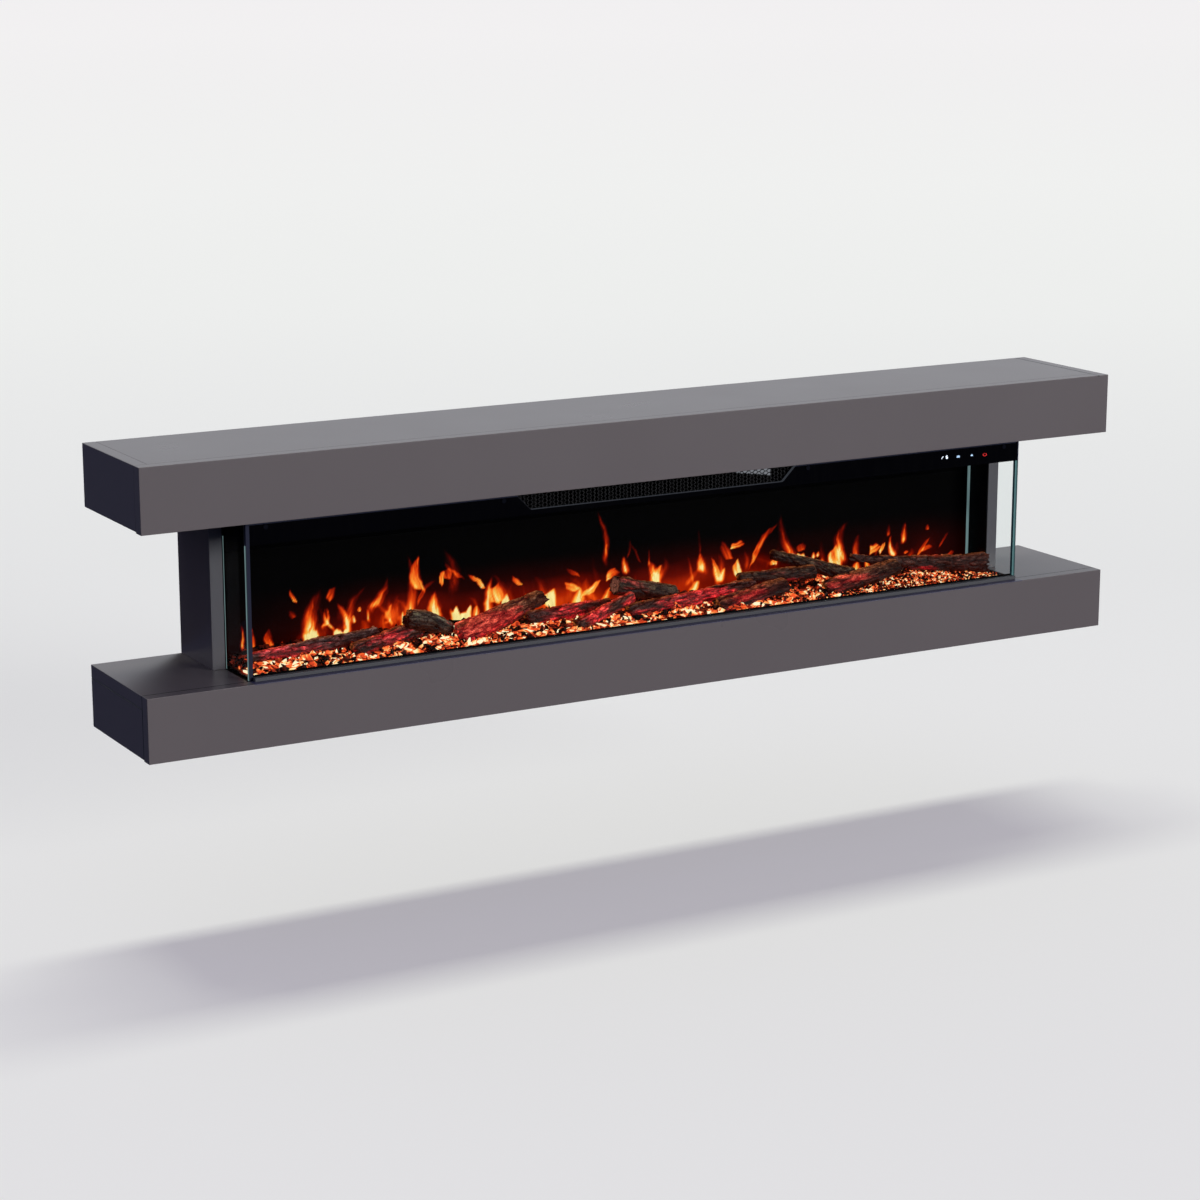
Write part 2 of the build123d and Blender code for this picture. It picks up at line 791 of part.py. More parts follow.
def build_ember_bed_and_logs():
    """Moulded ember bed, the logs seated on it and on each other, and the loose chips."""
    upper = bed_profile()
    profile = [(bed_front, 0.0)] + upper + [(bed_rear, 0.0)]
    bed = bar_along_x([(y, plinth_top + up) for y, up in profile], -bed_half, bed_half)
    nodes["ember_bed"] = bed

    placed = [bed]
    for seed, (name, split, stations) in enumerate(logs):
        log = log_solid(stations, split, seed)
        for support in placed:
            if boxes_meet(log, support):
                log = log - support
        log = largest(log)
        placed.append(log)
        nodes[name] = log

    chips = []
    radius = math.hypot(chip_length, chip_width) / 2
    for (y_low, low), (y_high, high) in zip(upper, upper[1:]):
        slope = math.degrees(math.atan2(high - low, y_high - y_low))
        rows = max(1, int((y_high - y_low) // chip_pitch_across))
        columns = int(2 * (bed_half - radius) // chip_pitch_along)
        for row in range(rows):
            share = (row + 0.5) / rows
            y = y_low + share * (y_high - y_low)
            up = low + share * (high - low)
            for column, x in enumerate(even_places(columns, chip_pitch_along)):
                seed = column + 100 * row + int(1000 * low)
                spot = Vector(x, y, plinth_top + up)
                if near_a_log(spot, radius):
                    continue
                chip = Pos(0, 0, chip_height / 2 + chip_seat) * Box(chip_length, chip_width, chip_height)
                chip = chamfer(chip.faces().sort_by(Axis.Z)[-1].edges(), chip_height / 3)
                turn = 180 * scatter(seed)
                chips.append(Pos(spot) * Rot(slope, 0, 0) * Rot(0, 0, turn) * chip)
    nodes["ember_chips"] = Compound(children=chips)


def build_electronics():
    """Touch display behind the glass, and the control board on the header floor."""
    high = mantel_low - touch_board_drop
    nodes["touch_display"] = block(
        (glass_half - touch_board_left, glass_half - touch_board_right),
        (glass_inner, glass_inner + touch_board), (high - touch_board_height, high),
    )

    x_low = inner_screw_x + control_board_offset
    x_high = x_low + control_board_length
    y_low = (header_front + back_inner - control_board_depth) / 2
    y_high = y_low + control_board_depth
    z_low = header_top + standoff
    z_high = z_low + circuit_board
    control = block((x_low, x_high), (y_low, y_high), (z_low, z_high))
    for x in (x_low + standoff_inset, x_high - standoff_inset):
        for y in (y_low + standoff_inset, y_high - standoff_inset):
            control += rod_z(standoff_radius, header_top, z_low, x, y)
    for index in range(relay_count):
        x = x_low + 2 * standoff_inset + index * relay_pitch
        control += block((x, x + relay), (y_low + relay, y_low + 2 * relay), (z_high, z_high + relay))
    x = x_high - choke - 2 * standoff_inset
    control += block((x, x + choke), (y_low + relay, y_low + relay + choke), (z_high, z_high + choke_height))
    for index in range(2):
        x = (x_low + x_high) / 2 + index * capacitor_pitch
        control += rod_z(capacitor_radius, z_high, z_high + capacitor_height, x, y_high - capacitor_pitch)
    nodes["control_board"] = control


def switch_body_half():
    """Half sizes of the switch housing along X and Y."""
    half_x = rocker_half_length + rocker_end_gap + switch_wall
    half_y = rocker_half_width + rocker_side_gap + switch_wall
    return half_x, half_y


def rocker_pivot_z():
    """Height of the rocker's pin: the tilted face stays inside the fascia's lower edge."""
    dip = rocker_half_length * math.sin(math.radians(rocker_tilt)) + rocker_face
    return underside - flange + dip


def build_power_entry():
    """Rocker switch and cord gland in the plinth's bottom board."""
    half_x, half_y = switch_body_half()
    pivot = Pos(switch_x, -switch_from_wall, rocker_pivot_z())
    roof = rocker_back + switch_roof_gap
    flange_low = underside - flange - rocker_pivot_z()
    board_low = underside - rocker_pivot_z()
    cavity_x = half_x - switch_wall
    cavity_y = half_y - switch_wall
    housing = block((-half_x, half_x), (-half_y, half_y), (flange_low, roof + switch_roof))
    housing += block(
        (-half_x - flange_lip, half_x + flange_lip), (-half_y - flange_lip, half_y + flange_lip),
        (flange_low, board_low),
    )
    housing -= block((-cavity_x, cavity_x), (-cavity_y, cavity_y), (flange_low, roof))
    housing -= rod_y(rocker_pin_radius + shaft_clearance, -half_y, half_y, 0, 0)
    for x in (-cavity_x / 2, cavity_x / 2):
        tab_low = roof + switch_roof
        housing += block(
            (x - terminal / 2, x + terminal / 2), (-terminal_width / 2, terminal_width / 2),
            (tab_low, tab_low + terminal_length),
        )
    nodes["switch_housing"] = pivot * housing

    face = [
        (-rocker_half_length, -rocker_face), (0, rocker_dish - rocker_face),
        (rocker_half_length, -rocker_face), (rocker_half_length - rocker_draft, rocker_back),
        (rocker_draft - rocker_half_length, rocker_back),
    ]
    rocker = plate_along_y(face, -rocker_half_width, rocker_half_width)
    pin_end = rocker_half_width + rocker_pin_reach
    rocker += rod_y(rocker_pin_radius, -pin_end, pin_end, 0, 0)
    nodes["switch_rocker"] = pivot * Rot(0, rocker_tilt, 0) * rocker

    gland = rod_z(gland_radius, underside, plinth_floor, gland_x, -switch_from_wall)
    gland += rod_z(gland_nut_radius, underside - flange, underside, gland_x, -switch_from_wall)
    nut = extrude(RegularPolygon(gland_nut_radius, 6), gland_nut)
    gland += Pos(gland_x, -switch_from_wall, plinth_floor) * nut
    gland -= rod_z(
        gland_bore, underside - flange, plinth_floor + gland_nut, gland_x, -switch_from_wall
    )
    nodes["cord_gland"] = gland


def build_wall_fixing():
    """Wall bracket with its four screw holes, and the channel on the casing that hooks on it."""
    lip_back = -bracket_step
    lip_front = lip_back - bracket_sheet
    shelf_top = bracket_half_height + bracket_sheet
    lip_top = shelf_top + bracket_lip
    profile = [
        (0, -bracket_half_height), (0, shelf_top), (lip_back, shelf_top), (lip_back, lip_top),
        (lip_front, lip_top), (lip_front, bracket_half_height),
        (-bracket_sheet, bracket_half_height), (-bracket_sheet, -bracket_half_height),
    ]
    bracket = bar_along_x(profile, -bracket_half_length, bracket_half_length)
    for x in (-bracket_hole_spacing_x / 2, bracket_hole_spacing_x / 2):
        for z in (-bracket_hole_spacing_z / 2, bracket_hole_spacing_z / 2):
            bracket -= rod_y(bracket_hole_radius, -bracket_sheet, 0, x, z)
    nodes["wall_bracket"] = bracket

    hook_front = lip_back + channel_clearance
    hook_back = hook_front + bracket_sheet
    web_top = lip_top + bracket_sheet
    flange_back = case_back + bracket_sheet
    channel = [
        (hook_back, lip_top - channel_lip), (hook_back, web_top), (flange_back, web_top),
        (flange_back, web_top + channel_flange), (case_back, web_top + channel_flange),
        (case_back, lip_top), (hook_front, lip_top), (hook_front, lip_top - channel_lip),
    ]
    nodes["hanging_channel"] = bar_along_x(channel, -channel_half_length, channel_half_length)


build_mantel()
build_plinth()
build_columns_and_rails()
build_casing()
build_glass()
build_outlet_grille()
build_flame_engine(build_fan_heater())
build_ember_bed_and_logs()
build_electronics()
build_power_entry()
build_wall_fixing()

os.makedirs("parts", exist_ok=True)
for name, shape in nodes.items():
    export_step(shape, os.path.join("parts", name + ".step"))
print(len(nodes), "nodes written")
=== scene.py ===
"""Looks of a wall-hung electric fireplace: boards, glass, embers, logs, flames and the studio."""
import logging
import math
from collections.abc import Iterable, Sequence
from dataclasses import dataclass, field
from enum import Enum

import bpy
import numpy as np
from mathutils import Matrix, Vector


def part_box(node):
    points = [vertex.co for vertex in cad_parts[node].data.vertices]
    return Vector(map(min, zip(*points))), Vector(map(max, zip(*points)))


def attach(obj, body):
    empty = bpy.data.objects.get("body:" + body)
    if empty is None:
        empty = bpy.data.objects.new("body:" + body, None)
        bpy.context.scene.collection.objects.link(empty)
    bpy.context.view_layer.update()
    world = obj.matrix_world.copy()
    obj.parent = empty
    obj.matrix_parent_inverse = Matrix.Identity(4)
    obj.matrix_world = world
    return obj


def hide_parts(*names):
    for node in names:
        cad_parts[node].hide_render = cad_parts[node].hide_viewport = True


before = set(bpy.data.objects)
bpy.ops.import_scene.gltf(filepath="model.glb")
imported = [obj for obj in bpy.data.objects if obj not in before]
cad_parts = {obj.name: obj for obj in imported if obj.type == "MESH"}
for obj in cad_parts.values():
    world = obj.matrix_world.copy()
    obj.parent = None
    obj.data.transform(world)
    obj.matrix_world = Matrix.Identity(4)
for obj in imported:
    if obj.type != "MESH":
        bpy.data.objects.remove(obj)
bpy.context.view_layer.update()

MM = 0.001
BODY = "suite"
NOISE_SPAN = (0.3, 0.7)
CELL_FACTORS = (73856093, 19349663, 83492791)
SEED_FACTOR = 668265263
STIRS = ((13, 1274126177), (16, 461845907))
LAST_SHIFT = 15
WORD = 0xFFFFFFFF
LAYER_SHIFT = 17.0
AXIS_SHIFT = 101
BLACK = (0.0, 0.0, 0.0)
REPORT = logging.getLogger("fireplace")

Triple = tuple[float, float, float]
Colour = Triple
Span = tuple[float, float]
Stops = Sequence[tuple[float, Colour]]
Material = bpy.types.Material
Socket = bpy.types.NodeSocket
Operand = float | Socket
Tint = Colour | Socket


def smooth_step(low: float, high: float, value: np.ndarray) -> np.ndarray:
    """Change from 0 at low to 1 at high along the cubic 3t^2 - 2t^3.

    Args:
        low: Value that gives 0.
        high: Value that gives 1; it may be below low.
        value: Numbers to map.

    Returns:
        Numbers from 0 to 1, shaped like value.
    """
    part = np.clip((value - low) / (high - low), 0.0, 1.0)
    return part * part * (3.0 - 2.0 * part)


def blend(first: np.ndarray, second: np.ndarray, share: np.ndarray) -> np.ndarray:
    """Mix two colours, or two grids of colours, by a grid of shares of the second."""
    return np.asarray(first) * (1.0 - share[..., None]) + np.asarray(second) * share[..., None]


def box_mm(node: str) -> tuple[np.ndarray, np.ndarray]:
    """Lowest and highest corner of a CAD node, in millimetres."""
    low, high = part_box(node)
    return np.array(low) / MM, np.array(high) / MM


@dataclass(frozen=True)
class Noise:
    """Repeatable noise in space, from stirred whole numbers."""

    seed: int

    def lattice(self, cells: np.ndarray) -> np.ndarray:
        """Give each whole-number cell a number from 0 to 1.

        The three whole numbers, each times a large odd number, and the seed are joined by exclusive
        or, stirred twice by a shift and a product, and divided by their range.

        Args:
            cells: Whole numbers, three to a cell, on the last axis.

        Returns:
            One number for each cell.
        """
        first, second, third = (cells[..., axis] * CELL_FACTORS[axis] for axis in range(3))
        mixed = (first ^ second ^ third ^ (self.seed * SEED_FACTOR)) & WORD
        for shift, factor in STIRS:
            mixed = ((mixed ^ (mixed >> shift)) * factor) & WORD
        return (mixed ^ (mixed >> LAST_SHIFT)) / WORD

    def smooth(self, points: np.ndarray) -> np.ndarray:
        """Blend the numbers at the eight corners of each point's cell by smooth steps.

        Args:
            points: Places, in cells, three numbers on the last axis.

        Returns:
            Numbers from 0 to 1.
        """
        low = np.floor(points).astype(np.int64)
        part = smooth_step(0.0, 1.0, points - low)
        total = np.zeros(points.shape[:-1])
        for corner in np.ndindex(2, 2, 2):
            weight = np.prod(np.where(np.array(corner) == 1, part, 1.0 - part), axis=-1)
            total += weight * self.lattice(low + np.array(corner))
        return total

    def layered(self, points: np.ndarray, layers: int = 3) -> np.ndarray:
        """Add layers of smooth noise, each half as strong and twice as fine, scaled to 0 to 1.

        Args:
            points: Places, in cells of the first layer, three numbers on the last axis.
            layers: How many layers.

        Returns:
            Numbers from 0 to 1.
        """
        total = np.zeros(points.shape[:-1])
        for layer in range(layers):
            total += self.smooth(points * 2.0**layer + LAYER_SHIFT * layer) / 2.0**layer
        return total / (2.0 - 2.0 ** (1 - layers))

    def borders(self, points: np.ndarray) -> np.ndarray:
        """Distance from the border between scattered cells: second nearest less nearest seed.

        Args:
            points: Places, in cells, three numbers on the last axis.

        Returns:
            Zero on a border, about a half in the middle of a cell.
        """
        low = np.floor(points).astype(np.int64)
        nearest = np.full(points.shape[:-1], np.inf)
        second = nearest.copy()
        for step in np.ndindex(3, 3, 3):
            cell = low + np.array(step) - 1
            seeds = np.stack([self.lattice(cell + AXIS_SHIFT * axis) for axis in range(3)], -1)
            reach = np.linalg.norm(cell + seeds - points, axis=-1)
            second = np.minimum(second, np.maximum(nearest, reach))
            nearest = np.minimum(nearest, reach)
        return second - nearest


@dataclass
class Shell:
    """Closed mesh in millimetres: points, four- and three-cornered faces, and paints on the points."""

    points: np.ndarray
    quads: np.ndarray
    fans: np.ndarray
    paints: dict[str, np.ndarray] = field(default_factory=dict)

    def facing_out(self) -> "Shell":
        """Turn every face round if the volume, summed over corner tetrahedra, comes out negative.

        Returns:
            The shell itself.
        """
        halves = np.concatenate([self.quads[:, [0, 1, 2]], self.quads[:, [0, 2, 3]], self.fans])
        first, second, third = (self.points[halves[:, corner]] for corner in range(3))
        if np.einsum("ij,ij->", first, np.cross(second, third)) < 0.0:
            self.quads = self.quads[:, ::-1]
            self.fans = self.fans[:, ::-1]
        return self


def grid_quads(rows: int, columns: int, round_columns: bool) -> np.ndarray:
    """Faces of a grid of points numbered row by row.

    Args:
        rows: Rows of points.
        columns: Points in a row.
        round_columns: Whether the last column joins the first.

    Returns:
        Four point numbers for each face.
    """
    row = np.arange(rows - 1)[:, None] * columns
    column = np.arange(columns if round_columns else columns - 1)[None, :]
    after = (column + 1) % columns
    corners = [row + column, row + after, row + columns + after, row + columns + column]
    return np.stack(np.broadcast_arrays(*corners), -1).reshape(-1, 4)


def capped_rings(rings: np.ndarray) -> Shell:
    """Close rows of rings into a shell.

    Neighbouring rings are joined by faces with four corners, and each end ring by a fan to its mean.

    Args:
        rings: Points by row, place round the ring and axis.

    Returns:
        The shell, with the two mean points last.
    """
    rows, columns, _ = rings.shape
    poles = np.stack([rings[0].mean(axis=0), rings[-1].mean(axis=0)])
    rim = np.arange(columns)
    after = np.roll(rim, -1)
    last = (rows - 1) * columns
    fans = np.concatenate([
        np.stack([after, rim, np.full(columns, rows * columns)], -1),
        np.stack([last + rim, last + after, np.full(columns, rows * columns + 1)], -1),
    ])
    points = np.concatenate([rings.reshape(-1, 3), poles])
    return Shell(points, grid_quads(rows, columns, True), fans).facing_out()


def with_poles(values: np.ndarray) -> np.ndarray:
    """Lay out numbers or colours of a grid of rings in the order of capped_rings' points.

    Args:
        values: Numbers or colours by row and place round the ring.

    Returns:
        One for each point, the two ends' means last.
    """
    flat = values.reshape((-1,) + values.shape[2:])
    poles = np.stack([values[0].mean(axis=0), values[-1].mean(axis=0)])
    return np.concatenate([flat, poles])


def joined(shells: Sequence[Shell]) -> Shell:
    """One shell that holds several, with their point numbers shifted."""
    starts = np.cumsum([0] + [len(shell.points) for shell in shells[:-1]])
    return Shell(
        np.concatenate([shell.points for shell in shells]),
        np.concatenate([shell.quads + start for shell, start in zip(shells, starts)]),
        np.concatenate([shell.fans + start for shell, start in zip(shells, starts)]),
    )


def make_piece(
    name: str, shell: Shell, material: Material,
    replaced: Sequence[str] = (), smooth: bool = True,
) -> bpy.types.Object:
    """Put a shell into the scene as a piece that rides on the fireplace's fixed body.

    Args:
        name: The piece's name.
        shell: Its mesh, in millimetres.
        material: Its finish.
        replaced: CAD nodes that the piece stands for.
        smooth: Whether its faces are shaded as one round surface.

    Returns:
        The new object.
    """
    mesh = bpy.data.meshes.new(name)
    mesh.from_pydata((shell.points * MM).tolist(), [], shell.quads.tolist() + shell.fans.tolist())
    for paint, values in shell.paints.items():
        if values.ndim == 1:
            layer = mesh.attributes.new(paint, "FLOAT", "POINT")
            layer.data.foreach_set("value", values.astype(np.float32))
        else:
            layer = mesh.attributes.new(paint, "FLOAT_COLOR", "POINT")
            opaque = np.concatenate([values, np.ones((len(values), 1))], axis=1)
            layer.data.foreach_set("color", opaque.astype(np.float32).ravel())
    mesh.polygons.foreach_set("use_smooth", np.full(len(mesh.polygons), smooth))
    mesh.materials.append(material)
    piece = bpy.data.objects.new(name, mesh)
    bpy.context.scene.collection.objects.link(piece)
    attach(piece, BODY)
    if replaced:
        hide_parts(*replaced)
    REPORT.info("%s: %d faces", name, len(mesh.polygons))
    return piece


def dress(nodes: Iterable[str], material: Material) -> None:
    """Put a finish on CAD nodes and report them.

    Args:
        nodes: Names of the nodes.
        material: The finish.
    """
    for name in nodes:
        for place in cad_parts[name].material_slots:
            place.material = material
        REPORT.info("%s: %s", name, material.name)


class Shader:
    """Node tree of one material, with short calls for the nodes that the finishes share."""

    def __init__(self, name: str) -> None:
        """Start an empty material.

        Args:
            name: Its name.
        """
        self.material = bpy.data.materials.new(name)
        self.material.use_nodes = True
        self.tree = self.material.node_tree
        self.tree.nodes.clear()
        self.output = self.node("ShaderNodeOutputMaterial")
        self.place = self.node("ShaderNodeTexCoord").outputs["Object"]

    def node(self, kind: str, inputs: dict | None = None, **settings: object) -> bpy.types.Node:
        """Add a node.

        Args:
            kind: Its Blender type name.
            inputs: What goes into its sockets, by name or number: a value, a colour or a socket.
            settings: Its other properties.

        Returns:
            The node.
        """
        made = self.tree.nodes.new(kind)
        for key, value in settings.items():
            setattr(made, key, value)
        for key, value in (inputs or {}).items():
            socket = made.inputs[key]
            if isinstance(value, Socket):
                self.tree.links.new(value, socket)
            elif socket.type == "RGBA":
                socket.default_value = (*value, 1.0)
            else:
                socket.default_value = value
        return made

    def noise(self, size: float, detail: float = 4.0, stretch: Triple = (1.0, 1.0, 1.0)) -> Socket:
        """Noise over the piece, with features of about that size in metres.

        Args:
            size: Size of a feature.
            detail: Finer layers added.
            stretch: How many times longer the features are along each axis.

        Returns:
            A socket from 0 to 1.
        """
        scale = tuple(1.0 / long for long in stretch)
        mapped = self.node("ShaderNodeMapping", {"Vector": self.place, "Scale": scale})
        inputs = {"Vector": mapped.outputs[0], "Scale": 1.0 / size, "Detail": detail}
        return self.node("ShaderNodeTexNoise", inputs).outputs["Fac"]

    def paint(self, name: str) -> bpy.types.Node:
        """Attribute of the mesh's points."""
        return self.node("ShaderNodeAttribute", attribute_name=name)

    def ramp(self, share: Socket, stops: Stops) -> Socket:
        """Colour ramp.

        Args:
            share: What is looked up.
            stops: Places and their colours, in order.

        Returns:
            The colour.
        """
        made = self.node("ShaderNodeValToRGB", {"Fac": share})
        elements = made.color_ramp.elements
        while len(elements) < len(stops):
            elements.new(1.0)
        for element, (place, colour) in zip(elements, stops):
            element.position = place
            element.color = (*colour, 1.0)
        return made.outputs["Color"]

    def two_tone(self, share: Socket, deep: Colour, pale: Colour) -> Socket:
        """Colour ramp from deep to pale over the span in which most of a noise lies."""
        return self.ramp(share, tuple(zip(NOISE_SPAN, (deep, pale))))

    def spread(self, value: Socket, low: float, high: float, first: float, last: float) -> Socket:
        """Map low to high onto first to last, held at the ends."""
        inputs = {"Value": value, "From Min": low, "From Max": high, "To Min": first, "To Max": last}
        return self.node("ShaderNodeMapRange", inputs).outputs["Result"]

    def sheen(self, share: Socket, low: float, high: float) -> Socket:
        """Value that follows a noise from low to high."""
        return self.spread(share, *NOISE_SPAN, low, high)

    def maths(self, work: str, first: Operand, second: Operand = 0.0) -> Socket:
        """Arithmetic on sockets or numbers."""
        return self.node("ShaderNodeMath", {0: first, 1: second}, operation=work).outputs[0]

    def mixed(self, share: Operand, first: Tint, second: Tint, work: str = "MIX") -> Socket:
        """Mix of two colours."""
        inputs = {0: share, 6: first, 7: second}
        return self.node("ShaderNodeMix", inputs, data_type="RGBA", blend_type=work).outputs[2]

    def bump(self, height: Socket, depth: float) -> Socket:
        """Bump of that depth in metres."""
        return self.node("ShaderNodeBump", {"Height": height, "Distance": depth}).outputs["Normal"]

    def principled(self, inputs: dict) -> bpy.types.Node:
        """Principled surface."""
        return self.node("ShaderNodeBsdfPrincipled", inputs)

    def done(self, surface: bpy.types.Node) -> Material:
        """Join a shader node to the output and hand the material over."""
        self.tree.links.new(surface.outputs[0], self.output.inputs["Surface"])
        return self.material


@dataclass(frozen=True)
class Coating:
    """Paint, powder coat or moulded plastic: drifting colour, mottled sheen and a fine surface grain."""

    name: str
    deep: Colour
    pale: Colour
    roughness: Span
    ior: float
    grain: float
    grain_depth: float
    drift: float = 0.25
    drift_share: float = 0.7

    def build(self) -> Material:
        """Make the material."""
        return self.finish(Shader(self.name))

    def finish(self, shader: Shader, lines: Socket | None = None, line_colour: Tint = BLACK) -> Material:
        """Make the coat on a shader, with lines of another colour if they are given.

        Args:
            shader: Shader to build on.
            lines: 1 on a line, 0 elsewhere.
            line_colour: Colour of the lines.

        Returns:
            The material.
        """
        broad = shader.noise(self.drift, 3.0)
        fine = shader.noise(self.grain, 2.0)
        drifting = shader.maths("MULTIPLY", broad, self.drift_share)
        tone = shader.maths("ADD", drifting, shader.maths("MULTIPLY", fine, 1.0 - self.drift_share))
        colour = shader.two_tone(tone, self.deep, self.pale)
        return shader.done(shader.principled({
            "Base Color": colour if lines is None else shader.mixed(lines, colour, line_colour),
            "Roughness": shader.sheen(broad, *self.roughness),
            "IOR": self.ior,
            "Normal": shader.bump(fine, self.grain_depth),
        }))


@dataclass(frozen=True)
class BareMetal:
    """Metal with a drawn or crystalline grain."""

    name: str
    deep: Colour
    pale: Colour
    roughness: Span
    grain: float
    stretch: Triple = (1.0, 1.0, 1.0)
    spangle: float = 0.0
    grain_depth_share: float = 0.05

    def build(self) -> Material:
        """Make the material.

        Returns:
            The material.
        """
        shader = Shader(self.name)
        tone = shader.noise(self.grain, 4.0, self.stretch)
        if self.spangle:
            inputs = {"Vector": shader.place, "Scale": 1.0 / self.spangle}
            cells = shader.node("ShaderNodeTexVoronoi", inputs).outputs["Color"]
            tone = shader.maths("MULTIPLY", shader.maths("ADD", tone, cells), 0.5)
        return shader.done(shader.principled({
            "Base Color": shader.two_tone(tone, self.deep, self.pale),
            "Metallic": 1.0,
            "Roughness": shader.sheen(tone, *self.roughness),
            "Normal": shader.bump(tone, self.grain_depth_share * self.grain),
        }))


@dataclass(frozen=True)
class FibreBoard:
    """Raw pressed board: brown fibres drawn out along X."""

    name: str = "raw_fibre_board"
    fibre: float = 0.0016
    stretch: Triple = (4.0, 1.0, 1.0)
    depth: float = 0.0003
    deep: Colour = (0.16, 0.105, 0.062)
    pale: Colour = (0.30, 0.21, 0.135)
    roughness: Span = (0.75, 0.9)

    def build(self) -> Material:
        """Make the material.

        Returns:
            The material.
        """
        shader = Shader(self.name)
        fibres = shader.noise(self.fibre, 5.0, self.stretch)
        return shader.done(shader.principled({
            "Base Color": shader.two_tone(fibres, self.deep, self.pale),
            "Roughness": shader.sheen(fibres, *self.roughness),
            "Normal": shader.bump(fibres, self.depth),
        }))


@dataclass(frozen=True)
class CircuitLaminate:
    """Coated circuit board: green with tracks of paler copper under the coat."""

    name: str = "circuit_laminate"
    cells_per_metre: float = 160.0
    depth: float = 0.00005
    tones: Stops = (
        (0.25, (0.03, 0.16, 0.07)), (0.34, (0.01, 0.06, 0.03)), (0.8, (0.015, 0.075, 0.04)),
    )
    track_span: Span = (0.2, 0.7)
    roughness: Span = (0.3, 0.45)

    def build(self) -> Material:
        """Make the material.

        Returns:
            The material.
        """
        shader = Shader(self.name)
        inputs = {"Vector": shader.place, "Scale": self.cells_per_metre}
        tracks = shader.node("ShaderNodeTexVoronoi", inputs, distance="MANHATTAN").outputs["Distance"]
        return shader.done(shader.principled({
            "Base Color": shader.ramp(tracks, self.tones),
            "Roughness": shader.spread(tracks, *self.track_span, *self.roughness),
            "Normal": shader.bump(tracks, self.depth),
        }))


class PaneFace(Enum):
    """Axis that a pane's large faces look along."""

    SIDE = "X"
    FRONT = "Y"


